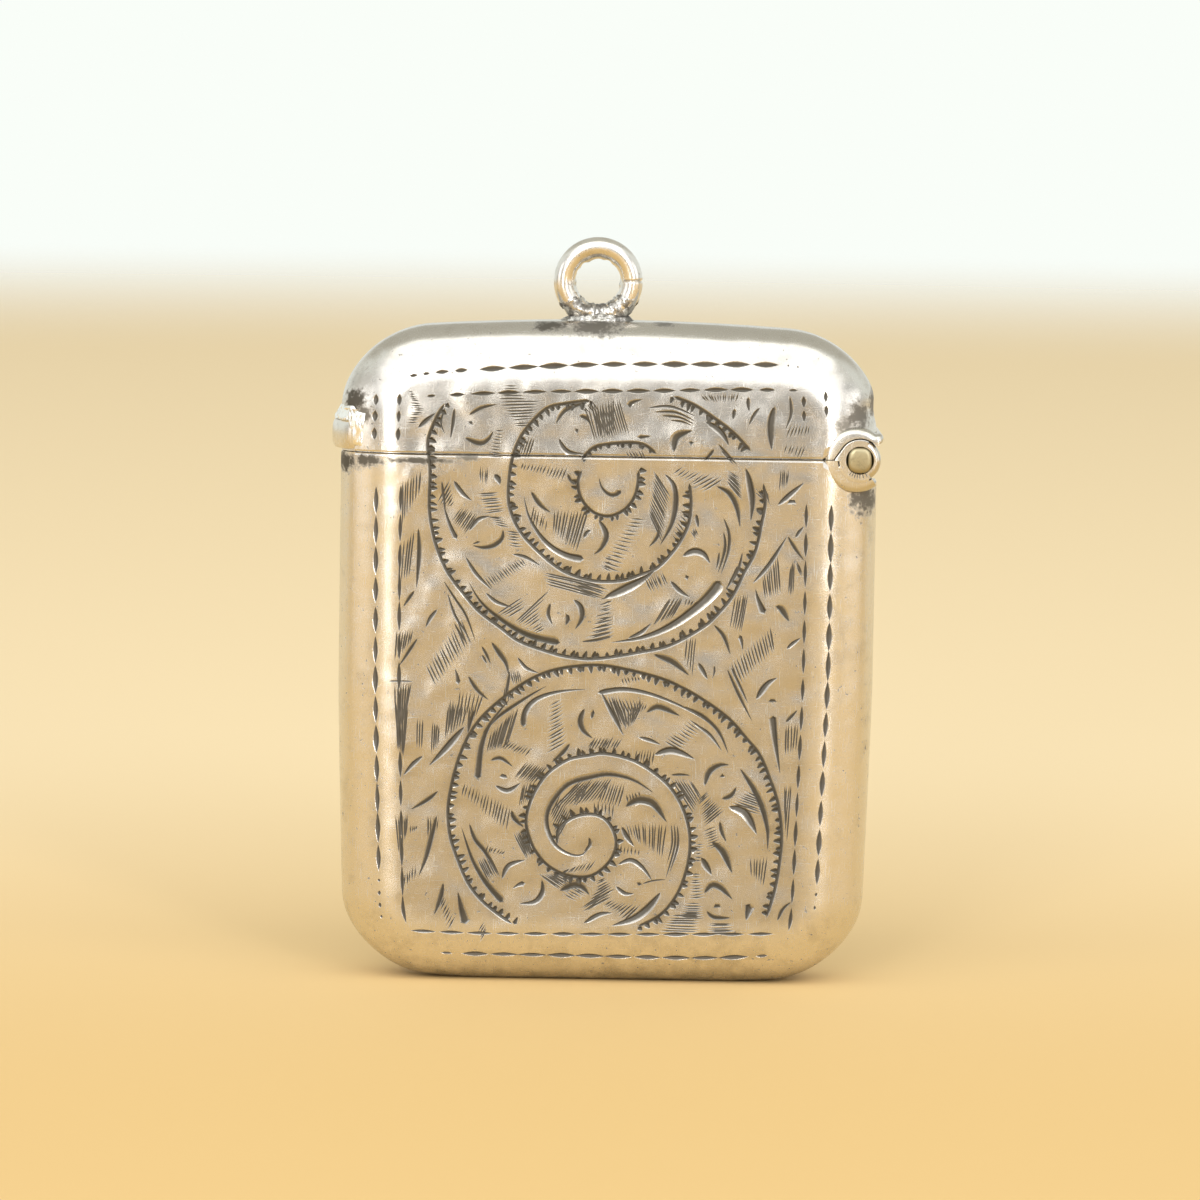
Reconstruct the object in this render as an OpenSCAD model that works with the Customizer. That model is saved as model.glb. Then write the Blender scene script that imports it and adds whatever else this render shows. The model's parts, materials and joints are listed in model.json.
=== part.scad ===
// Pocket match safe of stamped silver sheet: two soldered halves to the body, two to the lid,
// a five-knuckle side hinge, a thumb piece, a soldered ring and a ribbed striker let into the base.
// The front faces -Y, the hinge is on +X and the base stands on Z = 0.

/* [Case] */
// Width of the case across its flanks
case_w = 36; // [32:0.5:42]
// Height of the closed case, without the ring
case_h = 44.5; // [40:0.5:52]
// Depth of the case, front panel to back panel
case_d = 8.4; // [7.6:0.1:11]
// Thickness of the stamped sheet
wall = 0.5; // [0.4:0.05:0.7]
// Height of the lid above the seam
lid_h = 8.9; // [7.5:0.1:12]
// Gap between the rims of lid and body
seam_gap = 0.06; // [0.04:0.02:0.12]
// Corner radius at the base, seen from the front
base_corner_r = 6; // [5:0.25:8]
// Corner radius at the top of the lid, seen from the front
top_corner_r = 6; // [5:0.25:7]

/* [Rounded edge] */
// Radius where a panel turns into the shoulder
shoulder_r = 5; // [4:0.1:6]
// Angle over which the shoulder turns
shoulder_a = 36.8699; // [25:0.0001:45]
// Radius where the shoulder turns into the flank
flank_r = 2.5; // [1.8:0.1:3]

/* [Striker] */
// Length of the ribbed plate in the base
striker_len = 21; // [12:0.5:22]
// Width of the base left on each side of the plate
striker_margin = 0.35; // [0.25:0.05:0.6]
// How far the rib crests lie above the base
striker_recess = 0.05; // [0.02:0.01:0.1]
// Distance from rib to rib
rib_pitch = 0.7; // [0.5:0.05:1.2]
// Depth of the cuts between ribs
rib_depth = 0.22; // [0.1:0.02:0.3]
// Thickness of the plate's flange on the inside of the base
flange_t = 0.3; // [0.2:0.05:0.6]
// Overlap of that flange on the inside of the base
flange_lap = 0.25; // [0.15:0.05:0.3]

/* [Mouth collar] */
// Thickness of the collar strip
collar_t = 0.35; // [0.25:0.05:0.5]
// How far the collar stands up into the lid
collar_rise = 1.2; // [0.8:0.1:2]
// How far the collar reaches down into the body
collar_drop = 3; // [2:0.1:5]
// Clearance between the collar and the lid
collar_gap = 0.12; // [0.08:0.02:0.2]
// Space between the collar's ends and the hinge
collar_hinge_gap = 0.5; // [0.3:0.1:1.5]

/* [Hinge] */
// Distance of the pin's axis in from the flank
hinge_inset = 1.25; // [1:0.05:1.6]
// Length of the hinge, front to back
hinge_len = 8.1; // [6.5:0.1:8.3]
// Diameter of the pin
pin_d = 1.7; // [1.2:0.1:1.8]
// How far each domed pin end stands out
pin_proud = 0.08; // [0.02:0.02:0.1]
// Clearance of the pin in the body's knuckles
pin_snug = 0.01; // [0.01:0.01:0.02]
// Clearance of the pin in the lid's knuckles
pin_run = 0.03; // [0.02:0.01:0.06]
// Outer diameter of a knuckle
knuckle_d = 2.8; // [2.5:0.1:3]
// Gap between neighbouring knuckles
knuckle_gap = 0.06; // [0.04:0.02:0.1]
// Clearance between a knuckle and the other half's bearer
bearer_gap = 0.08; // [0.06:0.02:0.12]
// Outer radius of the two half-round bearers
bearer_r = 2.2; // [2:0.05:2.4]
// Distance of the bearers' centre in from the pin's axis
bearer_shift = 0.3; // [0.2:0.05:0.4]
// Where the lid's bearer ends, above the horizontal
lid_bearer_end = 40; // [36:1:44]
// Where the body's bearer ends, below the horizontal
body_bearer_end = 56; // [56:1:65]
// Radius of the lip along the end of the lid's bearer
lip_r = 0.3; // [0.2:0.02:0.34]
// Distance of the lip from the pin's axis
lip_out = 1.95; // [1.85:0.05:2]
// Angle of the lip above the horizontal
lip_a = 50; // [48:1:54]
// Reach of the solder that fills the corner beside a body knuckle
solder_reach = 1.7; // [1.6:0.05:1.9]

/* [Thumb piece] */
// How far the thumb piece stands out from the flank
thumb_reach = 0.66; // [0.4:0.02:1]
// Length of the thumb piece around the flank, front to back
thumb_len = 6.4; // [4:0.1:6.8]
// How far its ends fall back from its middle
thumb_sag = 1.3; // [0.8:0.05:1.6]
// Height of its upright face
thumb_face_h = 1.9; // [1:0.1:3]
// Height of the slope above that face
thumb_slope_h = 0.75; // [0.3:0.05:1.2]
// How far the slope runs in
thumb_slope_w = 0.9; // [0.5:0.05:1.2]
// Radius of its lower edge
thumb_edge_r = 0.3; // [0.1:0.05:0.5]
// Distance of the thumb piece above the lid's rim
thumb_lift = 0.12; // [0:0.02:0.5]

/* [Ring] */
// Outer diameter of the ring
ring_d = 6; // [4.5:0.1:8]
// Diameter of the ring's wire
ring_wire = 1.45; // [1:0.05:1.8]
// Diameter of the worn hole in the ring
ring_bore = 3.2; // [2:0.1:5]
// Place of the ring along the lid, from its middle
ring_x = -0.9; // [-4:0.1:4]
// Depth of the flat that seats the ring on the lid
ring_seat = 0.4; // [0.2:0.05:0.6]
// Depth of the solder mound's centre line below the top of the lid
solder_sink = 0.25; // [0.1:0.05:0.4]
// Half length of the solder mound
solder_half_l = 2.8; // [2:0.1:3.5]
// Radius of the solder mound
solder_r = 1.15; // [0.9:0.05:1.3]

/* [Hidden] */
$fn = 96;
silver = "#c8c2b4";
brass = "#a8924f";
solder = "#97938b";

// A box that is larger than the object, for cutting it
far = 2 * (case_w + case_h);
seam_z = case_h - lid_h;

// The rounded edge seen end on: how wide it is, and the half width of its flat flank
edge_w = shoulder_r * sin(shoulder_a) + flank_r * (1 - sin(shoulder_a));
flank_half = case_d / 2 - shoulder_r * (1 - cos(shoulder_a)) - flank_r * cos(shoulder_a);
shoulder_c = [0, case_d / 2 - shoulder_r];
flank_c = [(shoulder_r - flank_r) * sin(shoulder_a), flank_half];

// How far the core of that edge stays inside its surface
core_margin = 0.05;

striker_w = 2 * (flank_half - striker_margin);
rib_count = floor(striker_len / rib_pitch);
rib_step = striker_len / rib_count;

hinge_x = case_w / 2 - hinge_inset;
pin_r = pin_d / 2;
pin_len = hinge_len + 2 * pin_proud;
knuckle_r = knuckle_d / 2;
channel_r = knuckle_r + bearer_gap;
knuckle_count = 5;
knuckle_step = hinge_len / knuckle_count;
// Arcs over which the knuckles are soldered to their own bearer, from first angle to last
body_foot = [195, 295];
lid_foot = [62, 140];
collar_end = hinge_x - bearer_shift - bearer_r - collar_hinge_gap;

thumb_r = (pow(thumb_len / 2, 2) + pow(thumb_sag, 2)) / (2 * thumb_sag);
thumb_x = thumb_r - case_w / 2 - thumb_reach;
thumb_z = seam_z + seam_gap / 2 + thumb_lift;
// Angle that the crescent is turned through before its ends are cut off
thumb_turn = 140;

ring_mid_r = (ring_d - ring_wire) / 2;
ring_z = case_h + ring_d / 2 - ring_seat;

// A slice of a disc about c, from angle a0 to angle a1
module sector(c, r, a0, a1) {
  reach = 2 * r;
  intersection() {
    translate(c) circle(r);
    polygon([c, c + reach * [cos(a0), sin(a0)], c + reach * [cos(a1), sin(a1)]]);
  }
}

// The rounded edge seen end on, drawn in by inset: its flat panels lie to the left, its flank to the right
module edge_section(inset) {
  side_a = 90 - shoulder_a;
  for (side = [1, -1]) {
    from_a = side > 0 ? 0 : -side_a;
    sector([flank_c.x, side * flank_c.y], flank_r - inset, from_a, from_a + side_a);
    sector(
      [shoulder_c.x, side * shoulder_c.y], shoulder_r - inset,
      side > 0 ? side_a : -90, side > 0 ? 90 : -side_a
    );
  }
  translate([0, -flank_half]) square([edge_w - inset, 2 * flank_half]);
}

// A slab of the given depth with the rounded edge along its right side, and a core that laps its pieces
module edge_slab(inset, depth) {
  translate([depth, 0]) edge_section(inset);
  translate([0, inset - case_d / 2]) square([depth, case_d - 2 * inset]);
  lap = inset + core_margin;
  turn = [depth + flank_c.x, flank_c.y] + (flank_r - lap) * [sin(shoulder_a), cos(shoulder_a)];
  polygon([
    [0, lap - case_d / 2],
    [depth, lap - case_d / 2],
    [turn.x, -turn.y],
    [depth + edge_w - lap, -flank_half],
    [depth + edge_w - lap, flank_half],
    turn,
    [depth, case_d / 2 - lap],
    [0, case_d / 2 - lap]
  ]);
}

// The level section of the case between its corners
module level_section(inset) {
  for (turn = [0, 180])
    rotate(turn) edge_slab(inset, case_w / 2 - edge_w);
}

// A cup with its closed end on Z = 0, drawn in by inset: the edge section runs along that end,
// round both corners and up both flanks
module cup_form(inset, corner_r, height) {
  corner_in = corner_r - edge_w;
  corner_x = case_w / 2 - corner_r;
  translate([0, 0, corner_r]) linear_extrude(height - corner_r) level_section(inset);
  rotate([90, 0, 0]) {
    translate([corner_x, corner_r, 0])
      rotate([90, 0, -90])
        linear_extrude(2 * corner_x) edge_slab(inset, corner_in);
    for (side = [0, 1])
      mirror([side, 0, 0])
        translate([corner_x, corner_r, 0])
          rotate([0, 0, -90])
            rotate_extrude(angle = 90) edge_slab(inset, corner_in);
  }
}

// Half of a hollow cup: side is -1 for the front half and 1 for the back half
module cup_half(side, corner_r, height) {
  intersection() {
    difference() {
      cup_form(0, corner_r, height);
      cup_form(wall, corner_r, height + wall);
    }
    translate([-far / 2, side < 0 ? -far : 0, -far / 2]) cube(far);
  }
}

// Turns what is drawn up from the lid's top over, onto the closed case
module lid_place() {
  translate([0, 0, case_h]) mirror([0, 0, 1]) children();
}

// The outside of the closed lid, which the thumb piece and the solder are fitted to
module lid_outside() {
  lid_place() cup_form(0, top_corner_r, lid_h);
}

// Carries a drawing made about the pin's axis to the hinge, from y0 to y1
module along_hinge(y0, y1) {
  translate([hinge_x, y1, seam_z])
    rotate([90, 0, 0])
      linear_extrude(y1 - y0) children();
}

module bearer_disc() {
  translate([-bearer_shift, 0]) circle(bearer_r);
}

module lid_lip() {
  translate(lip_out * [cos(lip_a), sin(lip_a)]) circle(lip_r);
}

// The corner beside a knuckle that solder fills, as far out as reach from a tube of radius r
module solder_corner(r, reach) {
  a = 180 - acos(r / reach);
  polygon([
    [0, 0],
    r * [cos(a), sin(a)],
    [-reach, seam_gap / 2],
    [-reach, -seam_gap / 2],
    [0, -seam_gap / 2]
  ]);
}

module body_shell(side) {
  difference() {
    cup_half(side, base_corner_r, seam_z - seam_gap / 2);
    along_hinge(-case_d, case_d) bearer_disc();
    translate([-striker_len / 2, -striker_w / 2, -wall]) cube([striker_len, striker_w, 3 * wall]);
  }
}

module lid_shell(side) {
  difference() {
    lid_place() cup_half(side, top_corner_r, lid_h - seam_gap / 2);
    along_hinge(-case_d, case_d) bearer_disc();
    along_hinge(-case_d, case_d) lid_lip();
  }
}

// A knuckle: its place from the front, its clearance on the pin, and the arc that is soldered to its bearer
module knuckle(place, clearance, foot, filled) {
  y0 = place * knuckle_step - hinge_len / 2;
  front_gap = place > 0 ? knuckle_gap / 2 : 0;
  rear_gap = place < knuckle_count - 1 ? knuckle_gap / 2 : 0;
  along_hinge(y0 + front_gap, y0 + knuckle_step - rear_gap)
    difference() {
      union() {
        circle(knuckle_r);
        sector([0, 0], channel_r, foot[0], foot[1]);
        if (filled) solder_corner(knuckle_r, solder_reach);
      }
      circle(pin_r + clearance);
    }
}

module body_knuckle(place) {
  knuckle(place, pin_snug, body_foot, true);
}

module lid_knuckle(place) {
  knuckle(place, pin_run, lid_foot, false);
}

module body_front_shell() {
  color(silver) body_shell(-1);
}

module body_back_shell() {
  color(silver) body_shell(1);
}

// Ribbed plate: the ribs run from front to back, and a flange seats it on the inside of the base
module striker_plate() {
  half_l = striker_len / 2;
  ribs = [
    for (i = [0 : rib_count - 1]) each [
      [i * rib_step - half_l, striker_recess],
      [(i + 0.5) * rib_step - half_l, striker_recess + rib_depth]
    ]
  ];
  flange = [striker_len + 2 * flange_lap, striker_w + 2 * flange_lap, flange_t];
  color(silver) {
    rotate([90, 0, 0])
      linear_extrude(striker_w, center = true)
        polygon(concat(ribs, [[half_l, striker_recess], [half_l, wall], [-half_l, wall]]));
    translate([-flange.x / 2, -flange.y / 2, wall]) cube(flange);
  }
}

// Strip round three sides of the mouth: soldered inside the body, it guides the lid above the seam
module mouth_collar() {
  rim_z = seam_z - seam_gap / 2;
  low_z = seam_z - collar_drop;
  lid_inset = wall + collar_gap;
  color(silver)
    intersection() {
      difference() {
        union() {
          translate([0, 0, low_z]) linear_extrude(rim_z - low_z) level_section(wall);
          translate([0, 0, rim_z])
            linear_extrude(seam_z + collar_rise - rim_z) level_section(lid_inset);
        }
        translate([0, 0, low_z - 1])
          linear_extrude(collar_drop + collar_rise + 2) level_section(lid_inset + collar_t);
      }
      translate([collar_end - far, -far / 2, 0]) cube([far, far, far]);
    }
}

module body_hinge_bearer() {
  reach = 2 * bearer_r;
  color(silver)
    along_hinge(-hinge_len / 2, hinge_len / 2)
      difference() {
        intersection() {
          bearer_disc();
          polygon([
            [0, -seam_gap / 2],
            [-reach, -seam_gap / 2],
            [-reach, -reach],
            reach * [cos(body_bearer_end), -sin(body_bearer_end)]
          ]);
        }
        circle(channel_r);
      }
}

module body_knuckle_front() {
  color(silver) body_knuckle(0);
}

module body_knuckle_middle() {
  color(silver) body_knuckle(2);
}

module body_knuckle_rear() {
  color(silver) body_knuckle(4);
}

module hinge_pin() {
  color(brass)
    translate([hinge_x, 0, seam_z])
      intersection() {
        rotate([90, 0, 0]) cylinder(r = pin_r, h = pin_len, center = true);
        sphere(pin_len / 2);
      }
}

module lid_front_shell() {
  color(silver) lid_shell(-1);
}

module lid_back_shell() {
  color(silver) lid_shell(1);
}

module lid_hinge_bearer() {
  reach = 2 * bearer_r;
  color(silver)
    along_hinge(-hinge_len / 2, hinge_len / 2)
      difference() {
        intersection() {
          union() {
            bearer_disc();
            lid_lip();
          }
          polygon([
            [0, seam_gap / 2],
            reach * [cos(lid_bearer_end), sin(lid_bearer_end)],
            [reach, reach],
            [-reach, reach],
            [-reach, seam_gap / 2]
          ]);
        }
        circle(channel_r);
        solder_corner(channel_r, solder_reach + bearer_gap);
      }
}

module lid_knuckle_front() {
  color(silver) lid_knuckle(1);
}

module lid_knuckle_rear() {
  color(silver) lid_knuckle(3);
}

// Crescent soldered round the left flank of the lid, for the thumb
module thumb_piece() {
  face_z = thumb_z + thumb_face_h;
  top_z = face_z + thumb_slope_h;
  edge_x = thumb_r - thumb_edge_r;
  edge_z = thumb_z + thumb_edge_r;
  color(silver)
    difference() {
      intersection() {
        translate([thumb_x, 0, 0])
          rotate([0, 0, 180 - thumb_turn / 2])
            rotate_extrude(angle = thumb_turn) {
              polygon([
                [0, thumb_z],
                [edge_x, thumb_z],
                [edge_x, edge_z],
                [thumb_r, edge_z],
                [thumb_r, face_z],
                [thumb_r - thumb_slope_w, top_z],
                [0, top_z]
              ]);
              sector([edge_x, edge_z], thumb_edge_r, -90, 0);
            }
        translate([-far, -thumb_len / 2, 0]) cube([far, thumb_len, far]);
      }
      lid_outside();
    }
}

module at_ring() {
  translate([ring_x, 0, ring_z]) rotate([90, 0, 0]) children();
}

// Ring of round wire, its hole worn to a short straight bore and its foot filed flat to sit on the lid
module suspension_ring() {
  color(silver)
    difference() {
      at_ring()
        rotate_extrude()
          difference() {
            translate([ring_mid_r, 0]) circle(ring_wire / 2);
            translate([0, -ring_wire]) square([ring_bore / 2, 2 * ring_wire]);
          }
      translate([-far / 2, -far / 2, case_h - far]) cube(far);
    }
}

// Round-ended mound of solder over the foot of the ring
module ring_solder() {
  straight = solder_half_l - solder_r;
  color(solder)
    difference() {
      translate([ring_x, 0, case_h - solder_sink])
        rotate([0, 90, 0])
          rotate_extrude() {
            sector([0, straight], solder_r, 0, 90);
            sector([0, -straight], solder_r, -90, 0);
            translate([0, -straight]) square([solder_r, 2 * straight]);
          }
      lid_outside();
      at_ring() rotate_extrude() translate([ring_mid_r, 0]) circle(ring_wire / 2);
    }
}

body_front_shell();
body_back_shell();
striker_plate();
mouth_collar();
body_hinge_bearer();
body_knuckle_front();
body_knuckle_middle();
body_knuckle_rear();
hinge_pin();
lid_front_shell();
lid_back_shell();
lid_hinge_bearer();
lid_knuckle_front();
lid_knuckle_rear();
thumb_piece();
suspension_ring();
ring_solder();
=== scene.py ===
import json
import math
import random

import bmesh
import bpy
import numpy as np
from mathutils import Matrix, Vector, noise
from mathutils.geometry import delaunay_2d_cdt


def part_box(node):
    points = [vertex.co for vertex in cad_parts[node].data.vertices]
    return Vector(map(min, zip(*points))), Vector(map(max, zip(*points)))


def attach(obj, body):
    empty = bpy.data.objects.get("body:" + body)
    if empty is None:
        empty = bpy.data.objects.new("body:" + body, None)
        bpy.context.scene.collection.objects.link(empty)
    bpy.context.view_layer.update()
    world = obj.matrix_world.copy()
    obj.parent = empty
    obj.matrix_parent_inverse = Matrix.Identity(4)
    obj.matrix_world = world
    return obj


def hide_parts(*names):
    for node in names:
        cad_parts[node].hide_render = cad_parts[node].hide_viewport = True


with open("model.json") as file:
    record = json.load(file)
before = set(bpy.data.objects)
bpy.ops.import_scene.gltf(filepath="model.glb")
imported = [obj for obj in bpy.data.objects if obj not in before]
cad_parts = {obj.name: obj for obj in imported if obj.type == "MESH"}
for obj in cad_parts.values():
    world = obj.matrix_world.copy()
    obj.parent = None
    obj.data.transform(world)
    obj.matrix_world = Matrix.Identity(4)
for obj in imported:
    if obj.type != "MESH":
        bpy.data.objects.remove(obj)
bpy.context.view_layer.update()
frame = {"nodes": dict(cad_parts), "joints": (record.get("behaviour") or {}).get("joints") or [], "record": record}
print("frame loaded:", len(frame["nodes"]), "parts")

mm = 0.001
random.seed(7)


class Feed:  # a socket that can stand in a sum
    def __init__(self, bench, socket):
        self.bench, self.socket = bench, socket

    def sum(self, operation, first, second):
        return self.bench.node("ShaderNodeMath", {"operation": operation}, {0: first, 1: second})

    def __add__(self, other): return self.sum("ADD", self, other)
    def __radd__(self, other): return self.sum("ADD", other, self)
    def __sub__(self, other): return self.sum("SUBTRACT", self, other)
    def __rsub__(self, other): return self.sum("SUBTRACT", other, self)
    def __mul__(self, other): return self.sum("MULTIPLY", self, other)
    def __rmul__(self, other): return self.sum("MULTIPLY", other, self)


class Bench:  # one node tree being wired
    def __init__(self, owner):
        owner.use_nodes = True
        self.owner, self.tree = owner, owner.node_tree
        self.tree.nodes.clear()

    def node(self, kind, settings=None, sockets=None, out=0):
        made = self.tree.nodes.new(kind)
        for key, value in (settings or {}).items():
            setattr(made, key, value)
        for key, value in (sockets or {}).items():
            if isinstance(value, Feed):
                self.tree.links.new(value.socket, made.inputs[key])
            else:
                made.inputs[key].default_value = value
        return Feed(self, made.outputs[out]) if made.outputs else None

    def vector(self, operation, sockets, out=0):
        return self.node("ShaderNodeVectorMath", {"operation": operation}, sockets, out)

    def spot(self):  # where a point of the piece lies, in mm
        return self.vector("SCALE", {0: self.node("ShaderNodeTexCoord", out=3), "Scale": 1.0 / mm})

    def attribute(self, name):
        return self.node("ShaderNodeAttribute", {"attribute_name": name}, out=2)

    def most(self, first, second):
        return self.node("ShaderNodeMath", {"operation": "MAXIMUM"}, {0: first, 1: second})

    def smooth(self, value, low, high):  # 0 at low, 1 at high
        return self.node("ShaderNodeMapRange", {"interpolation_type": "SMOOTHSTEP"},
                         {"Value": value, "From Min": low, "From Max": high, "To Min": 0.0, "To Max": 1.0})

    def mix(self, factor, first, second):
        return self.node("ShaderNodeMix", {"data_type": "RGBA"}, {0: factor, 6: first, 7: second}, out=2)

    def noise(self, spot, scale, detail=3.0, rough=0.55):
        return self.node("ShaderNodeTexNoise", {}, {"Vector": spot, "Scale": scale, "Detail": detail,
                                                    "Roughness": rough})

    def metal(self, colour, metallic, rough, height, bump):  # bump is a strength and a distance in metres
        normal = self.node("ShaderNodeBump", {}, {"Strength": bump[0], "Distance": bump[1], "Height": height})
        shader = self.node("ShaderNodeBsdfPrincipled", {}, {"Base Color": colour, "Metallic": metallic,
                                                            "Roughness": rough, "Normal": normal})
        self.node("ShaderNodeOutputMaterial", {}, {"Surface": shader})
        return self.owner


# the third colour is painted shade: it darkens the flat panel in place of the dark reflections it should show, the
# lid's upper faces and the foot of the base; the fourth is tarnish round the cuts that also stands in for the shade of
# the relief beside them, and painted shade at the base
silverLook = {
    "clean": (0.74, 0.71, 0.66, 1), "dull": (0.55, 0.51, 0.44, 1), "film": (0.46, 0.43, 0.38, 1),
    "soil": (0.16, 0.15, 0.13, 1), "black": (0.045, 0.038, 0.025, 1), "pickled": (0.66, 0.62, 0.54, 1),
    "rough": 0.24, "scratch": 0.12, "pits": 0.62, "bump": (0.55, 0.00012),
}
hingeLook = {**silverLook, "clean": (0.62, 0.59, 0.53, 1)}
# patterns in the silver, to the mm: scale, detail and roughness
silverGrain = {"broad": (0.16, 2.0), "dents": (0.4, 1.0, 0.5), "cloud": (0.9, 4.0, 0.62), "speck": (2.4, 6.0, 0.75),
               "dust": (3.4, 2.0, 0.5), "grain": (7.0, 5.0, 0.7)}

# dark patches: middle in mm, reach along x, y and z in mm, strength
bodyTarnish = [
    ((-17.5, -1.8, 34.9), (1.5, 2.2, 0.85), 0.95), ((-15.9, -3.5, 35.1), (1.3, 1.4, 0.5), 0.9),
    ((-12.6, -4.2, 35.15), (2.7, 1.0, 0.24), 0.9), ((-9.4, -4.2, 35.4), (0.9, 1.0, 0.3), 0.7),
    ((17.0, -2.8, 33.1), (1.5, 1.5, 1.5), 0.85), ((-17.2, 1.8, 34.9), (1.9, 1.9, 1.3), 0.85),
    ((17.0, 2.4, 33.0), (1.7, 1.7, 1.7), 0.85),
]
lidTarnish = [
    ((-17.2, -3.0, 38.9), (1.2, 1.2, 1.2), 0.95), ((-16.5, -3.5, 38.2), (0.7, 0.7, 0.7), 0.8),
    ((-17.0, -3.1, 40.4), (1.3, 1.3, 1.3), 0.3), ((16.5, -3.0, 38.6), (1.2, 1.2, 1.2), 0.8),
    ((15.5, -3.5, 37.9), (0.8, 0.8, 0.8), 0.7), ((17.4, -1.4, 39.4), (1.3, 1.3, 1.3), 0.8),
    ((-4.0, -2.0, 44.2), (1.3, 0.9, 0.9), 0.9), ((-1.0, -2.1, 44.2), (2.0, 1.2, 1.2), 0.8),
    ((3.7, -1.5, 44.3), (1.0, 0.7, 0.7), 0.7), ((-17.4, 1.8, 39.2), (1.7, 1.7, 1.7), 0.85),
    ((17.0, 2.5, 38.5), (1.5, 1.5, 1.5), 0.85), ((4.0, 2.0, 44.2), (1.2, 1.2, 1.2), 0.7),
]


def silver(name, patches=(), engraved=False, look=silverLook):
    b = Bench(bpy.data.materials.new(name))
    spot = b.spot()
    broad, dents, cloud, speck, dust, grain = [b.noise(spot, *pattern) for pattern in silverGrain.values()]
    along = b.node("ShaderNodeMapping", {}, {"Vector": spot, "Rotation": (0.0, 0.5, 0.0), "Scale": (16.0, 9.0, 0.9)})
    across = b.node("ShaderNodeMapping", {}, {"Vector": spot, "Rotation": (0.0, -0.9, 0.3), "Scale": (1.1, 9.0, 19.0)})
    scratches = b.smooth(b.noise(along, 1.0, 2.0), 0.63, 0.72) + b.smooth(b.noise(across, 1.0, 2.0), 0.65, 0.73)
    pits = b.smooth(dust, 0.67, 0.74) * b.smooth(cloud, 0.42, 0.58)

    black = pits * look["pits"]
    for middle, reach, strength in patches:
        away = b.vector("DISTANCE", {0: b.vector("DIVIDE", {0: spot, 1: reach}),
                                     1: [m / r for m, r in zip(middle, reach)]}, out=1)
        edge = away + (cloud - 0.5) * 1.1 + (speck - 0.5) * 2.2
        black = b.most(black, b.smooth(edge, 1.1, 0.4) * strength)
    colour = b.mix(b.smooth(cloud * 0.7 + broad * 0.5, 0.58, 0.78) * 0.5, look["clean"], look["dull"])
    film = inside = 0.0
    if engraved:  # the cuts are black with oxide, painted shade lies over the panel and beside the cuts with the tarnish there, and the inside was left matte
        groove, soil, film, inside = [b.attribute(kind) for kind in ("cut", "soil", "film", "inside")]
        # painted shade: the panel, the lid's upper faces and the base's foot are darkened in place of the shade and
        # dark reflections they show; round the cuts, tarnish and painted shade of the relief
        film = film * (0.75 + cloud * 0.5)
        black = b.most(black, b.smooth(groove + (grain - 0.5) * 0.5, 0.08, 0.72) * 0.88)
        colour = b.mix(film * 0.8, colour, look["film"])
        colour = b.mix(soil * b.smooth(cloud, 0.3, 0.65) * 0.5, colour, look["soil"])
        colour = b.mix(inside, colour, look["pickled"])
    colour = b.mix(black, colour, look["black"])
    rough = look["rough"] + (cloud - 0.5) * 0.16 + scratches * look["scratch"] + black * 0.3 + inside * 0.3
    metallic = 1.0 - black * 0.55 - inside * 0.55
    # where shade is painted, the broad undulation and the dents are stronger too
    height = (broad - 0.5) * (0.35 + film * 3.4) + (dents - 0.5) * (0.6 + film * 1.7)
    height = height + (grain - 0.5) * 0.012 - scratches * 0.006 - pits * 0.05
    return b.metal(colour, metallic, rough, height, look["bump"])


def plainMetal(name, colour, dark, rough, wear=0.5):
    b = Bench(bpy.data.materials.new(name))
    spot = b.spot()
    cloud = b.noise(spot, 1.6, 4.0, 0.65)
    grain = b.noise(spot, 8.0, 4.0, 0.7)
    worn = b.smooth(cloud * 0.6 + grain * 0.4, wear, wear + 0.16)
    height = (cloud - 0.5) * 0.25 + (grain - 0.5) * 0.08
    return b.metal(b.mix(worn * 0.8, colour, dark), 1.0 - worn * 0.25, rough + worn * 0.18, height, (0.5, 0.0001))


bodySilver = silver("bodySilver", bodyTarnish, True)
lidSilver = silver("lidSilver", lidTarnish, True)
hingeSilver = silver("hingeSilver", look=hingeLook)
knuckleSilver = silver("knuckleSilver", (), True, hingeLook)
thumbSilver = silver("thumbSilver")
ringSilver = silver("ringSilver")
pickledSilver = plainMetal("pickledSilver", silverLook["pickled"], (0.40, 0.36, 0.29, 1), 0.42, 0.46)
strikerSilver = plainMetal("strikerSilver", (0.58, 0.55, 0.49, 1), (0.36, 0.335, 0.29, 1), 0.36, 0.45)
pinBrass = plainMetal("pinBrass", (0.38, 0.33, 0.205, 1), (0.21, 0.18, 0.10, 1), 0.36)
greySolder = plainMetal("greySolder", (0.60, 0.58, 0.54, 1), (0.06, 0.053, 0.043, 1), 0.24, 0.40)
brightSolder = plainMetal("brightSolder", (0.90, 0.89, 0.85, 1), (0.42, 0.40, 0.35, 1), 0.26, 0.54)
print("finishes mixed")


def cad(node, corner, axis):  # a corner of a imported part, in mm
    return round(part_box(node)[corner][axis] / mm, 3)


def put(name, data):
    made = bpy.data.objects.new(name, data)
    bpy.context.scene.collection.objects.link(made)
    return made


def fit(name, mesh, body, nodes=()):
    piece = put(name, mesh)
    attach(piece, body)
    if nodes:
        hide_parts(*nodes)
    return piece


pinX, _, pinZ = [round(v / mm, 3) for v in frame["joints"][0]["pos_m"]]

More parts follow.
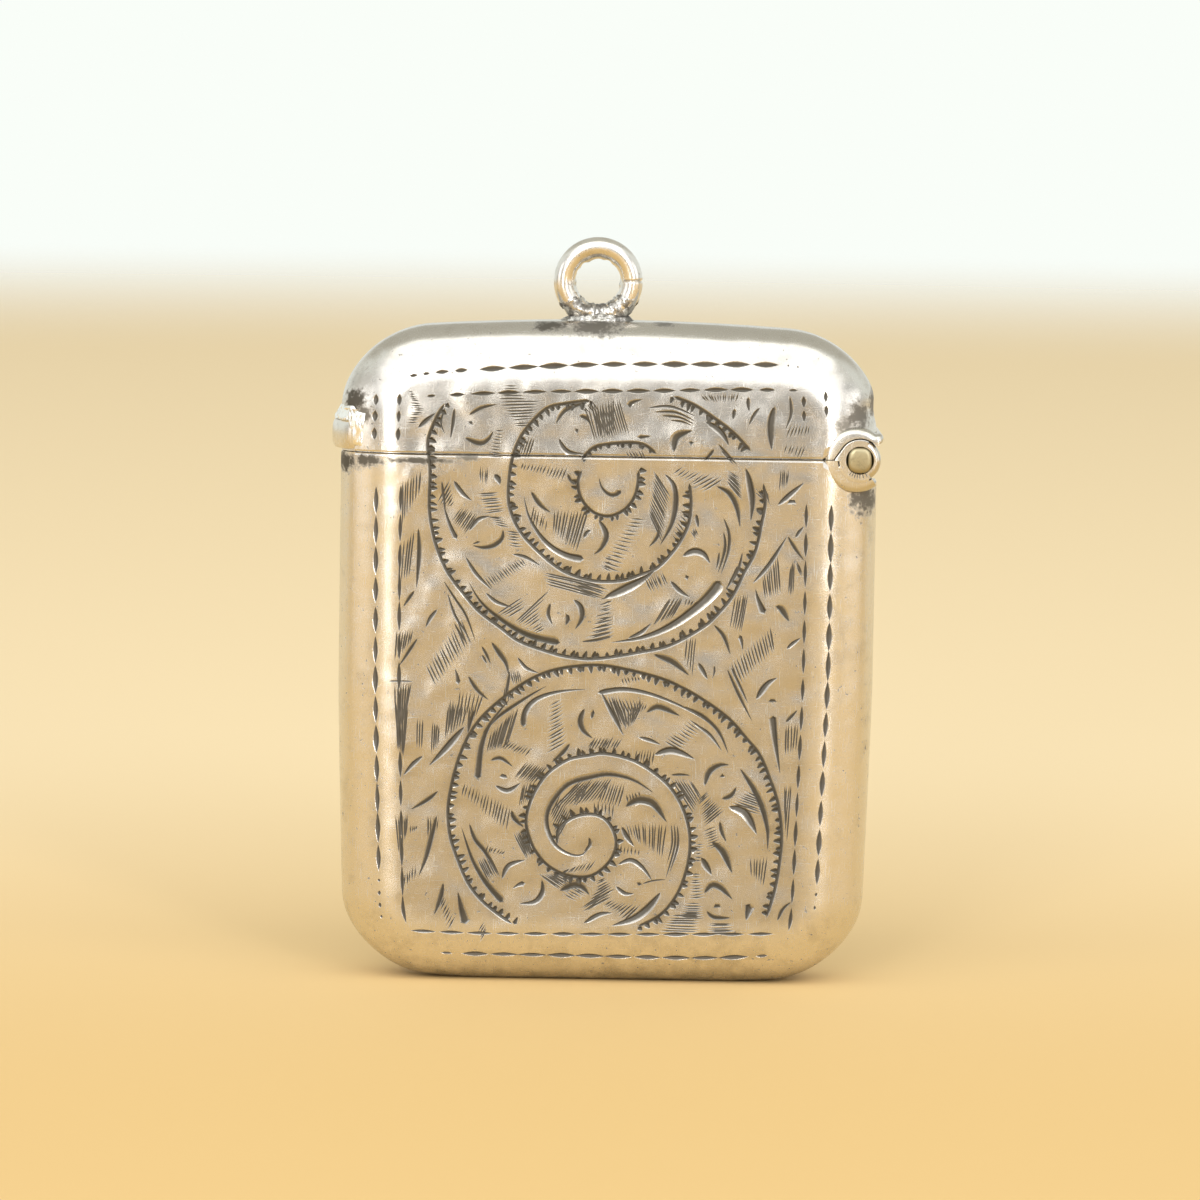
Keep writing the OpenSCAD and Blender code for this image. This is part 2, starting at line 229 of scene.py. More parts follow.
# the pressed form that all four shells share, in mm: h is the height from a cup's closed end
form = {
    "halfWidth": cad("body_front_shell", 1, 0), "height": cad("lid_front_shell", 1, 2), "wall": 0.5, "cornerR": 6.0,
    "edge": 4.0, "shoulderR": 5.0, "shoulderY": -0.8, "shoulderReach": 3.0,  # the panel's rounded shoulder
    "flankR": 2.5, "flankX": 1.5, "flankY": 1.2, "bandEdge": 1.0,  # the flank's tighter round
    "seam": pinZ, "gap": round(pinZ - cad("body_front_shell", 1, 2), 3),
    "rimRows": ((0.16, 0.0), (0.06, 0.03), (0.0, 0.1)),  # below the rim, and how far the edge is rounded in
    "bearer": (16.45, 2.2), "lip": (18.003, 37.094, 0.3),  # the hinge's round and its lip
    "slot": [round(cad("striker_plate", 1, axis) - 0.25, 3) for axis in (0, 1)],  # less the plate's flange
    "cornerSteps": 20, "baseSteps": 48, "flankSteps": 8,
}
# what wear and handwork did to the form
settling = {
    "bow": 0.45, "bowTop": 20, "bowSpan": 16, "bowPower": 1.2,
    "baseLift": 0.3, "baseHalf": 8, "liftSpan": 6, "liftTop": 5,
    "crown": 0.28, "crownHalf": 10, "crownFoot": 38, "crownSpan": 6.5,
    "taper": 0.03, "lean": 0.2, "leanSpan": 5, "leanTop": 6.0, "front": 4.2,
    "dent": 0.32, "dentAt": (17.6, 38.9), "dentSpread": 1.1,
}


def insetAt(x, h):  # how far in from the outline a front-view point lies, and the way out
    qx, qh = np.abs(x) - (form["halfWidth"] - form["cornerR"]), form["cornerR"] - h
    corner, low = (qx > 0) & (qh > 0), qh > 0
    r = np.maximum(np.hypot(qx, qh), 1e-9)
    inset = np.where(corner, form["cornerR"] - r, np.where(low, h, form["halfWidth"] - np.abs(x)))
    outX = np.where(corner, np.sign(x) * qx / r, np.where(low, 0.0, np.sign(x)))
    outH = np.where(corner, -qh / r, np.where(low, -1.0, 0.0))
    return inset, outX, outH


def panelSurface(flat):  # points and normals of the front over front-view points (x, h)
    inset, outX, outH = insetAt(flat[:, 0], flat[:, 1])
    lean = np.clip(form["edge"] - inset, 0, form["shoulderReach"]) / form["shoulderR"]
    front = np.sqrt(1 - lean ** 2)
    y = form["shoulderY"] + form["shoulderR"] * front
    return np.stack([flat[:, 0], y, flat[:, 1]], 1), np.stack([outX * lean, front, outH * lean], 1)


def notchTop(cup, x):  # where the flank stops below the hinge
    ends = [cup["rim"]]
    for cx, ch, r in cup["notch"]:
        if abs(x - cx) < r:
            ends.append(ch - math.sqrt(r * r - (x - cx) ** 2))
    return min(ends)


def edgePath(cup, inset):  # points and ways out at one inset, from the left rim round the closed end to the hinge
    w, r = form["halfWidth"] - inset, form["cornerR"]
    cx, bend = form["halfWidth"] - r, r - inset
    start, end = cup["rim"] - form["rimRows"][0][0], notchTop(cup, w)
    sides, base = range(1, cup["sideSteps"] + 1), range(1, form["baseSteps"] + 1)
    quarter = [math.pi / 2 * i / form["cornerSteps"] for i in range(1, form["cornerSteps"] + 1)]
    points = [(-w, cup["rim"] - t, -1, 0) for t, s in reversed(form["rimRows"])]
    points += [(-w, start + (r - start) * i / len(sides), -1, 0) for i in sides]
    points += [(-cx - bend * math.cos(a), r - bend * math.sin(a), -math.cos(a), -math.sin(a)) for a in quarter]
    points += [(-cx + 2 * cx * i / len(base), inset, 0, -1) for i in base]
    points += [(cx + bend * math.sin(a), r - bend * math.cos(a), math.sin(a), -math.cos(a)) for a in quarter]
    points += [(w, r + (end - r) * i / len(sides), 1, 0) for i in sides]
    return np.array(points)


def bandRows():  # (inset, depth from the middle plane, outward and forward part of the normal), flank first
    rows = [(0.0, 0.0, 1.0, 0.0), (0.0, form["slot"][1], 1.0, 0.0)]
    last = math.acos((form["edge"] - form["bandEdge"] - form["flankX"]) / form["flankR"])
    for i in range(form["flankSteps"] + 1):
        a = last * i / form["flankSteps"]
        inset = form["edge"] - form["flankX"] - form["flankR"] * math.cos(a)
        rows.append((inset, form["flankY"] + form["flankR"] * math.sin(a), math.cos(a), math.sin(a)))
    return rows


cups = {
    "body": {"rim": form["seam"] - form["gap"], "flip": False, "sideSteps": 40,
             "notch": [(form["bearer"][0], form["seam"], form["bearer"][1])]},
    "lid": {"rim": form["height"] - form["seam"] - form["gap"], "flip": True, "sideSteps": 8,
            "notch": [(form["bearer"][0], form["height"] - form["seam"], form["bearer"][1]),
                      (form["lip"][0], form["height"] - form["lip"][1], form["lip"][2])]},
}


def settle(points, cup):  # from cup to case: sides bowed, base lifted at its ends, lid crowned, leaning and dented
    s = settling
    x, y, h = points.T
    z = form["height"] - h if cup["flip"] else h
    bow = np.clip((s["bowTop"] - z) / s["bowSpan"], 0, None) ** s["bowPower"] * s["bow"]
    lift = np.clip((np.abs(x) - s["baseHalf"]) / s["liftSpan"], 0, None) ** 2 * s["baseLift"]
    lift = lift * np.clip(1 - z / s["liftTop"], 0, 1)
    drop = s["crown"] * (x / s["crownHalf"]) ** 2 * np.clip((z - s["crownFoot"]) / s["crownSpan"], 0, 1)
    above = np.clip(z - form["seam"], 0, s["leanTop"]) * cup["flip"]
    back = (s["taper"] * above + s["lean"] * (above / s["leanSpan"]) ** 2) * np.clip(y / s["front"], 0, 1)
    away = (x - s["dentAt"][0]) ** 2 + (z - s["dentAt"][1]) ** 2
    dent = s["dent"] * np.exp(-away / s["dentSpread"]) * cup["flip"]
    return np.stack([x * (1 - bow / form["halfWidth"]) - dent, y - back, z + lift - drop], 1)


def settledNormals(points, normals, cup):  # the surface's normals after settling
    side = np.cross(normals, np.where(np.abs(normals[:, 2:]) < 0.8, [[0.0, 0.0, 1.0]], [[1.0, 0.0, 0.0]]))
    side /= np.linalg.norm(side, axis=1)[:, None]
    up = np.cross(normals, side)
    at = settle(points, cup)
    turned = np.cross(settle(points + side * 0.01, cup) - at, settle(points + up * 0.01, cup) - at)
    turned /= np.linalg.norm(turned, axis=1)[:, None]
    facing = (turned * normals * ([1, 1, -1] if cup["flip"] else [1, 1, 1])).sum(1)
    return turned * np.sign(facing)[:, None]


# the engraving: lines with a width, drawn on six squares of one sheet (left, top, units to the sheet's own)
sheet = {"unit": 0.0668, "foot": (607.5, 979.0), "turn": math.radians(0.9), "sink": 0.275, "tilt": 0.9945}
squares = {"lidLeft": (320, 220, 5.227), "lidRight": (580, 220, 4.9), "upperLeft": (320, 430, 5.227),
           "upperRight": (580, 430, 4.9), "lowerLeft": (320, 700, 5.227), "lowerRight": (580, 700, 4.9)}


def onCase(point, square=None):  # from the sheet to the front of the case, in mm
    u, v = point
    if square:
        left, top, size = squares[square]
        u, v = left + u / size, top + v / size
    du, dv = u - sheet["foot"][0], v - sheet["foot"][1]
    c, s = math.cos(sheet["turn"]), math.sin(sheet["turn"])
    return ((du * c + dv * s) * sheet["unit"], ((du * s - dv * c) * sheet["unit"] + sheet["sink"]) / sheet["tilt"])


def resample(points, step):  # a smooth run of points about one step apart
    p = [Vector(q) for q in points]
    dense = []
    for i in range(len(p) - 1):
        a, b, c, d = p[max(i - 1, 0)], p[i], p[i + 1], p[min(i + 2, len(p) - 1)]
        for k in range(8):
            t = k / 8
            dense.append(0.5 * (2 * b + (c - a) * t + (2 * a - 5 * b + 4 * c - d) * t * t
                                + (3 * b - a - 3 * c + d) * t ** 3))
    dense.append(p[-1])
    length = np.concatenate([[0], np.cumsum([(dense[i + 1] - dense[i]).length for i in range(len(dense) - 1)])])
    count = max(2, int(round(length[-1] / step)) + 1)
    at = np.linspace(0, length[-1], count)
    return np.stack([np.interp(at, length, [q.x for q in dense]), np.interp(at, length, [q.y for q in dense])], 1)


swell = {  # how wide a cut is along its length
    "leaf": lambda t: np.sin(math.pi * t ** 0.8) ** 0.8,
    "grain": lambda t: np.clip(1 - np.abs(2 * t - 1) ** 1.7, 0, 1),
    "tail": lambda t: np.clip(t, 0, 1) ** 0.75 * np.clip((1 - t) / 0.05, 0, 1) ** 0.4,
    "wedge": lambda t: np.clip(1 - t, 0, 1) ** 0.75 * np.clip(t / 0.06, 0, 1) ** 0.4,
    "nick": lambda t: np.clip(1 - t, 0, 1) ** 0.6 * np.clip(t / 0.2, 0, 1) ** 0.5,
    "line": lambda t: np.clip(np.minimum(t / 0.12, (1 - t) / 0.3), 0, 1) ** 0.6,
    "even": lambda t: np.clip(np.minimum(t / 0.01, (1 - t) / 0.01), 0, 1),
}
# in mm; the last two are the half widths over which tarnish, with painted shade of the relief beside the cuts, starts
# to gather round a cut
graver = {"deepest": 0.17, "soil": 0.24, "grimeAndShadeReach": 0.32, "grimeAndShadeFrom": 0.06, "grimeAndShadeSpan": 0.07}
cuts = []


def cut(points, width, shape, lean=0.0, step=0.3, steep=0.62, stain=1.0):  # one graver cut, points in mm
    middle = resample(points, step)
    if len(middle) < 3:
        middle = resample(points, max(0.05, np.hypot(*(middle[-1] - middle[0])) / 2))
    t = np.linspace(0, 1, len(middle))
    along = np.gradient(middle, axis=0)
    along /= np.maximum(np.hypot(along[:, 0], along[:, 1])[:, None], 1e-9)
    left = np.stack([-along[:, 1], along[:, 0]], 1)
    half = width * swell[shape](t)
    cuts.append({"middle": middle, "left": left, "half": half, "lean": lean, "steep": steep, "stain": stain})


hatching = {"width": 0.068, "wander": 0.045, "bend": 0.03, "stain": 1.6}


def hatch(count, a0, b0, a1, b1, square):  # lines ruled from the first a0-b0 to the last a1-b1
    wander, bend = hatching["wander"], hatching["bend"]
    for i in range(count):
        t = i / max(1, count - 1)
        slip = [random.uniform(-wander, wander) for k in range(4)]
        start = Vector(onCase(a0, square)).lerp(Vector(onCase(a1, square)), t) + Vector(slip[:2])
        end = Vector(onCase(b0, square)).lerp(Vector(onCase(b1, square)), t) + Vector(slip[2:])
        middle = start.lerp(end, 0.5) + Vector((random.uniform(-bend, bend), random.uniform(-bend, bend)))
        width = hatching["width"] * random.uniform(0.8, 1.2)
        cut([start, middle, end], width, "line", 0.2, 0.6, stain=hatching["stain"])


scrollwork = {"width": 0.14, "pitch": 0.5, "tooth": 0.5, "nick": 0.26, "step": 0.3}


def scroll(points, side, pitch=scrollwork["pitch"], tooth=scrollwork["tooth"]):  # a line with nicks on one side
    width, step = scrollwork["width"], scrollwork["step"]
    run = resample([onCase(p) for p in points], step)
    cut(run, width, "even", 0.35 * side, step, stain=1.5)
    line = cuts[-1]
    length = step * (len(run) - 1)
    for i in range(int(length / pitch)):
        at = (i + 0.5) * pitch / length * (len(run) - 1) + random.uniform(-0.2, 0.2)
        k = int(max(0, min(len(run) - 1, at)))
        across, ahead = Vector(line["left"][k]) * side, Vector((line["left"][k][1], -line["left"][k][0]))
        root = Vector(run[k]) + across * width * 0.3 + ahead * random.uniform(-0.08, 0.08)
        tip = root + across * tooth * random.uniform(0.75, 1.2) + ahead * random.uniform(0.02, 0.16)
        half = scrollwork["nick"] * random.uniform(0.8, 1.15)
        cut([root, root.lerp(tip, 0.5), tip], half, "nick", 0.2, 0.12, 0.6, 2.0)


borders = {"pitch": 2.0, "wide": 0.215, "narrow": 0.16, "step": 0.05, "stain": 2.2}


def chain(points, pitch, width, fill=1.02, ends=0):  # rice-grain border; ends counts the grains that shrink
    run = resample([onCase(p) for p in points], borders["step"])
    length = borders["step"] * (len(run) - 1)
    count = max(1, int(round(length / pitch)))
    for i in range(count):
        small = min(1.0, 0.4 + 0.6 * min(i, count - 1 - i) / ends) if ends else 1.0
        mid, reach = (i + 0.5) / count, 0.5 * fill * small * random.uniform(0.9, 1.05) / count
        pick = [run[int(max(0, min(1, mid + k * reach)) * (len(run) - 1))] for k in (-1, 0, 1)]
        half = width * (0.5 + 0.5 * small) * random.uniform(0.85, 1.1)
        cut(pick, half, "grain", 0.0, pitch / 7, stain=borders["stain"])


def cutBorders():
    p, w, n = borders["pitch"], borders["wide"], borders["narrow"]
    chain([(383, 482), (382, 600), (381, 760), (380, 870)], p, w)
    chain([(380, 872), (380, 900), (382, 922)], 0.9, w * 0.8, 0.8, 3)
    chain([(408, 480), (406, 600), (405, 760), (404, 900), (407, 922)], p, n, 1.02)
    chain([(838, 500), (836, 640), (831, 800), (829, 884)], p, w)
    chain([(829, 886), (828, 900), (827, 912)], 0.8, w * 0.7, 0.8, 2)
    chain([(813, 498), (811, 640), (807, 780), (804, 900), (801, 932)], p, n, 0.95)
    chain([(410, 929), (500, 931), (620, 932), (787, 932)], p, n, 1.0)
    chain([(433, 952), (560, 954), (700, 957), (790, 955)], p * 0.97, w * 0.85, 1.04, 1)
    chain([(415, 370), (440, 367)], 0.8, w * 0.6, 0.65)
    chain([(440, 367), (478, 365)], 1.2, w * 0.9, 0.8)
    chain([(485, 365), (600, 362), (700, 361), (788, 359)], p * 1.05, w, 0.98)
    chain([(790, 359), (810, 361)], 0.7, w * 0.6, 0.6, 2)
    chain([(426, 392), (520, 389), (650, 388), (735, 386), (813, 385)], p * 0.85, n * 1.2, 0.98, 2)
    chain([(383.5, 386), (382, 412), (381, 440)], 1.2, w * 1.1, 0.8)
    chain([(407, 386), (406, 412), (405, 440)], 1.2, n * 1.15, 0.8)
    chain([(810, 390), (810.5, 420)], 1.0, n * 1.1, 0.85)
    chain([(832, 384), (833, 414)], 1.0, n * 1.15, 0.85)


upperOuter = [(452, 399), (444, 413), (435, 436), (436, 455), (437, 471), (436, 503), (439, 526), (444, 545),
              (454, 568), (471, 591), (486, 608), (506, 623), (525, 637), (555, 648), (575, 653), (603, 655),
              (649, 648), (678, 641), (709, 624), (723, 612), (739, 593), (751, 569), (762, 548), (768, 522),
              (772, 499), (770, 479)]
upperLid = [(680, 393), (702, 402), (723, 416), (741, 430), (758, 448)]
upperMiddle = [(597, 397), (574, 400), (555, 404), (540, 417), (528, 432), (520, 451), (516, 472), (515, 495),
               (519, 512), (527, 528), (540, 543), (559, 560), (576, 570), (600, 577), (627, 577), (647, 571),
               (664, 564), (678, 550), (688, 536), (696, 518), (698, 497), (696, 479)]
upperInner = [(645, 466), (643, 487), (634, 503), (617, 512), (600, 508), (588, 494), (585, 478), (589, 466)]
upperCap = [(588, 456), (600, 444), (617, 440), (641, 439), (653, 442), (664, 451)]
lowerOuter = [(517, 922), (502, 912), (484, 897), (471, 880), (462, 859), (454, 834), (452, 807), (456, 782),
              (463, 757), (473, 734), (486, 715), (504, 698), (527, 681), (550, 669), (575, 663), (607, 661),
              (641, 667), (670, 675), (694, 686), (720, 702), (739, 717), (753, 733), (768, 751), (780, 778),
              (788, 802), (792, 833), (790, 863), (786, 888), (778, 916)]
lowerSpiral = [(645, 924), (666, 914), (680, 900), (690, 882), (697, 857), (698, 833), (694, 814), (686, 796),
               (674, 780), (655, 765), (635, 755), (611, 750), (595, 752), (575, 756), (555, 769), (542, 786),
               (534, 805), (532, 822), (538, 842), (550, 859), (567, 870), (588, 874), (603, 870), (617, 857),
               (623, 841), (619, 825), (609, 814), (595, 811), (578, 815), (565, 826), (563, 842)]
lowerHeart = [(662, 790), (641, 776), (617, 770), (596, 773), (574, 780), (559, 796), (552, 811), (553, 826),
              (561, 842), (575, 851), (588, 852), (596, 843), (597, 836)]


def cutScrolls():
    scroll(upperOuter, 1)
    scroll(upperLid, -1)
    scroll(upperMiddle, 1)
    scroll(upperInner, 1, pitch=0.44, tooth=0.48)
    scroll(upperCap, -1, tooth=0.34)
    scroll(lowerOuter, -1)
    scroll(lowerSpiral, -1)
    cut([onCase(p) for p in lowerHeart], 0.24, "leaf", 0.5)


marks = {  # single cuts: shape, half width and path, in the square's own units
    "upperLeft": [
        ("leaf", 12, (550, 490), (556, 620), (540, 812)), ("leaf", 9, (530, 815), (500, 855), (468, 905)),
        ("leaf", 10, (650, 915), (612, 962), (585, 1015)), ("leaf", 9, (545, 1065), (500, 1130), (445, 1215)),
        ("line", 4, (390, 1293), (450, 1292), (522, 1294)),
        ("leaf", 7, (680, 765), (735, 850), (800, 950), (850, 1092)),
        ("leaf", 7, (700, 830), (740, 950), (790, 1030), (828, 1100)),
        ("leaf", 6, (735, 985), (770, 1045), (800, 1095)),
        ("leaf", 14, (930, 1085), (975, 1145), (1010, 1200), (1022, 1262)),
        ("leaf", 9, (1026, 1240), (1012, 1320), (998, 1400)), ("leaf", 8, (878, 1105), (905, 1150), (928, 1205)),
        ("leaf", 7, (878, 1150), (892, 1175), (908, 1205)), ("tail", 14, (738, 1222), (750, 1265), (757, 1312)),
        ("leaf", 11, (808, 1262), (860, 1340), (918, 1392)), ("leaf", 9, (1065, 1165), (1110, 1222), (1182, 1252)),
        ("leaf", 12, (842, 1440), (815, 1500), (803, 1568)),
        ("leaf", 10, (880, 1568), (960, 1480), (1100, 1385), (1222, 1315)),
        ("wedge", 17, (1098, 1535), (1108, 1450), (1170, 1385), (1290, 1347), (1432, 1335)),
        ("tail", 13, (680, 355), (695, 420), (720, 490), (750, 553)), ("leaf", 8, (672, 245), (680, 320), (692, 402)),
        ("leaf", 12, (733, 243), (780, 310), (832, 352)), ("leaf", 11, (815, 508), (862, 448), (928, 430)),
        ("leaf", 13, (992, 498), (985, 545), (945, 580), (890, 592), (828, 582)),
        ("wedge", 9, (878, 562), (855, 566), (828, 578)), ("leaf", 15, (942, 212), (968, 238), (975, 268)),
        ("leaf", 10, (795, 640), (850, 730), (940, 822)), ("leaf", 9, (1038, 628), (1110, 645), (1192, 692)),
        ("tail", 21, (810, 768), (880, 880), (1000, 980), (1130, 1050), (1292, 1088)),
        ("leaf", 10, (898, 828), (960, 880), (1046, 908)), ("leaf", 10, (1240, 880), (1226, 940), (1252, 1002)),
        ("leaf", 15, (1358, 865), (1395, 900), (1402, 960), (1366, 1024)),
        ("leaf", 12, (1318, 938), (1330, 965), (1316, 1002)), ("leaf", 7, (1400, 1085), (1480, 1076), (1568, 1058)),
        ("tail", 18, (1100, 318), (1130, 440), (1210, 560), (1310, 630), (1416, 656)),
        ("leaf", 12, (1138, 298), (1188, 370), (1245, 412)),
        ("leaf", 15, (1490, 448), (1530, 525), (1505, 595), (1462, 632)),
        ("leaf", 10, (1414, 548), (1432, 512), (1458, 504)), ("leaf", 9, (1330, 205), (1345, 240), (1366, 268)),
    ],
    "upperRight": [
        ("tail", 13, (125, 208), (140, 260), (175, 295), (210, 296), (233, 272)),
        ("leaf", 14, (446, 196), (490, 250), (500, 330), (480, 440), (424, 548)),
        ("leaf", 9, (420, 458), (408, 508), (368, 556)), ("leaf", 14, (700, 255), (765, 290), (805, 365), (818, 462)),
        ("leaf", 16, (842, 166), (862, 240), (875, 330), (868, 432)),
        ("leaf", 8, (735, 408), (765, 490), (760, 580), (722, 692)), ("leaf", 8, (735, 478), (742, 560), (708, 685)),
        ("leaf", 6, (716, 575), (712, 620), (700, 665)), ("leaf", 7, (830, 578), (812, 660), (772, 742)),
        ("leaf", 7, (808, 640), (785, 700), (746, 768)), ("leaf", 16, (535, 600), (590, 575), (640, 590), (672, 638)),
        ("leaf", 10, (548, 688), (556, 702), (560, 718)), ("leaf", 11, (474, 718), (520, 768), (574, 802)),
        ("tail", 27, (180, 1022), (330, 1000), (470, 945), (600, 855), (680, 780), (724, 720)),
        ("leaf", 10, (268, 1002), (330, 975), (385, 925)), ("leaf", 20, (150, 806), (240, 765), (330, 720), (398, 672)),
        ("leaf", 12, (1000, 352), (1060, 300), (1132, 238)), ("leaf", 10, (1048, 346), (1072, 330), (1094, 345)),
        ("leaf", 10, (880, 732), (960, 640), (1050, 498)), ("leaf", 9, (1050, 498), (1088, 560), (1132, 622)),
        ("leaf", 8, (1088, 512), (1106, 482), (1132, 452)), ("tail", 18, (892, 756), (905, 810), (936, 884)),
        ("leaf", 16, (988, 843), (1022, 855), (1062, 922)), ("leaf", 10, (688, 933), (740, 990), (772, 1085)),
        ("tail", 12, (830, 1062), (826, 1020), (812, 982)), ("leaf", 8, (755, 1150), (820, 1290), (882, 1412)),
        ("leaf", 7, (772, 1140), (830, 1262), (858, 1322)), ("leaf", 9, (1046, 1056), (1080, 1025), (1118, 998)),
        ("leaf", 14, (898, 1302), (950, 1228), (1004, 1193)), ("leaf", 9, (955, 1312), (980, 1303), (1002, 1314)),
        ("leaf", 16, (392, 1078), (490, 1115), (572, 1186)), ("leaf", 11, (610, 1118), (632, 1155), (660, 1205)),
        ("leaf", 6, (690, 1130), (692, 1160), (686, 1194)),
        ("wedge", 13, (118, 1270), (250, 1252), (400, 1282), (560, 1350), (692, 1432)),
        ("leaf", 10, (138, 1268), (190, 1370), (250, 1484)), ("leaf", 9, (600, 390), (606, 425), (612, 462)),
    ],
    "lowerLeft": [
        ("leaf", 16, (788, 118), (690, 230), (594, 327)), ("leaf", 11, (566, 272), (510, 318), (458, 377)),
        ("leaf", 11, (642, 455), (585, 500), (490, 556)), ("leaf", 14, (632, 583), (600, 690), (565, 810), (526, 908)),
        ("leaf", 13, (658, 938), (640, 1015), (604, 1112)), ("tail", 26, (735, 983), (755, 1070), (778, 1158)),
        ("tail", 20, (1030, -30), (960, 50), (905, 130), (872, 220), (858, 310), (848, 396)),
        ("tail", 19, (760, 640), (785, 720), (820, 820), (870, 910), (920, 975), (982, 1042)),
        ("leaf", 11, (918, 298), (975, 282), (1042, 332)), ("leaf", 11, (966, 384), (990, 378), (1010, 392)),
        ("leaf", 12, (942, 428), (1010, 456), (1082, 412)), ("leaf", 12, (1342, 204), (1300, 255), (1242, 308)),
        ("leaf", 16, (1420, 22), (1398, 85), (1415, 140), (1464, 183)),
        ("leaf", 10, (1463, 26), (1458, 55), (1452, 84)), ("leaf", 12, (804, 626), (835, 710), (890, 780), (962, 904)),
        ("leaf", 13, (1030, 556), (1045, 600), (1094, 648)), ("leaf", 12, (973, 922), (1010, 850), (1104, 818)),
        ("wedge", 14, (1100, 943), (1065, 950), (1028, 972)),
        ("leaf", 14, (1188, 922), (1192, 985), (1150, 1040), (1062, 1051)),
        ("leaf", 19, (1282, 982), (1350, 950), (1405, 960), (1444, 1008)),
        ("leaf", 12, (1414, 1154), (1495, 1108), (1568, 1100)), ("leaf", 10, (1440, 698), (1447, 740), (1412, 778)),
    ],
    "lowerRight": [
        ("wedge", 19, (978, 56), (995, 190), (1023, 348)), ("leaf", 9, (1042, 92), (1070, 62), (1104, 28)),
        ("leaf", 15, (356, 44), (420, 12), (528, 60)), ("leaf", 9, (318, 163), (380, 180), (434, 203)),
        ("leaf", 10, (540, 10), (640, 60), (720, 140), (766, 248)), ("leaf", 8, (590, 95), (670, 150), (735, 235)),
        ("leaf", 16, (398, 252), (490, 228), (602, 273)), ("leaf", 15, (648, 405), (668, 335), (720, 300), (775, 300)),
        ("leaf", 10, (720, 359), (738, 351), (755, 358)), ("leaf", 12, (732, 467), (780, 450), (808, 406)),
        ("leaf", 7, (478, 349), (530, 346), (582, 352)),
        ("leaf", 15, (823, 316), (890, 410), (940, 510), (968, 620), (969, 725)),
        ("leaf", 8, (905, 455), (950, 560), (976, 642)), ("leaf", 20, (768, 508), (850, 535), (914, 645)),
        ("leaf", 10, (728, 576), (740, 630), (764, 684)), ("leaf", 18, (688, 678), (750, 730), (796, 838)),
        ("leaf", 15, (636, 756), (660, 795), (692, 845)), ("leaf", 16, (653, 935), (690, 892), (740, 905), (800, 966)),
        ("leaf", 11, (700, 1006), (720, 991), (744, 1004)), ("leaf", 11, (668, 1018), (705, 1050), (794, 1055)),
        ("wedge", 25, (889, 984), (880, 1025), (868, 1070)), ("leaf", 9, (1024, 1073), (1050, 1012), (1096, 974)),
        ("leaf", 21, (256, 505), (320, 470), (400, 490), (464, 584)), ("leaf", 6, (500, 590), (506, 700), (460, 864)),
        ("leaf", 6, (516, 594), (521, 700), (480, 834)), ("leaf", 5, (485, 590), (490, 690), (465, 792)),
        ("leaf", 12, (236, 602), (265, 655), (302, 704)), ("leaf", 11, (218, 794), (285, 770), (345, 808), (394, 874)),
        ("leaf", 10, (313, 878), (328, 886), (345, 890)), ("line", 4, (342, 886), (400, 870), (465, 865)),
        ("leaf", 10, (208, 898), (255, 935), (304, 935)),
        ("leaf", 18, (438, 928), (380, 1000), (300, 1060), (186, 1096)),
        ("leaf", 9, (48, 1082), (95, 1050), (145, 1028)),
    ],
    "lidLeft": [
        ("leaf", 12, (548, 1072), (595, 1030), (644, 988)), ("leaf", 6, (692, 958), (668, 1040), (692, 1104)),
        ("leaf", 10, (741, 963), (735, 1040), (719, 1128)), ("leaf", 10, (812, 1002), (880, 962), (964, 944)),
        ("leaf", 11, (806, 1036), (822, 1042), (836, 1058)),
        ("leaf", 14, (793, 1118), (870, 1147), (915, 1127), (944, 1080)),
        ("leaf", 11, (1266, 1050), (1320, 975), (1454, 927)), ("leaf", 10, (1366, 1066), (1376, 1082), (1380, 1102)),
        ("leaf", 12, (1388, 1003), (1432, 1018), (1452, 1054)),
        ("leaf", 13, (1280, 1120), (1310, 1175), (1350, 1200), (1424, 1205)),
    ],
    "lidRight": [
        ("leaf", 7, (363, 906), (480, 900), (604, 948)), ("leaf", 6, (395, 925), (500, 925), (602, 972)),
        ("leaf", 6, (430, 942), (520, 950), (594, 986)), ("leaf", 5, (470, 965), (530, 970), (582, 992)),
        ("leaf", 15, (648, 972), (720, 1020), (762, 1090)), ("leaf", 19, (490, 1120), (502, 1045), (584, 1013)),
        ("leaf", 11, (560, 1070), (575, 1078), (594, 1072)), ("leaf", 10, (790, 905), (788, 935), (782, 964)),
        ("leaf", 10, (856, 846), (858, 885), (862, 924)), ("leaf", 9, (916, 898), (885, 940), (858, 994)),
        ("leaf", 20, (986, 892), (970, 990), (972, 1114)), ("leaf", 9, (1060, 838), (1068, 930), (1038, 1014)),
        ("wedge", 14, (272, 908), (282, 880), (342, 862)), ("wedge", 12, (312, 1046), (345, 1044), (384, 1042)),
        ("leaf", 9, (690, 1103), (665, 1135), (638, 1164)), ("leaf", 7, (708, 1078), (755, 1130), (804, 1184)),
        ("leaf", 6, (720, 1110), (760, 1150), (785, 1184)),
    ],
}
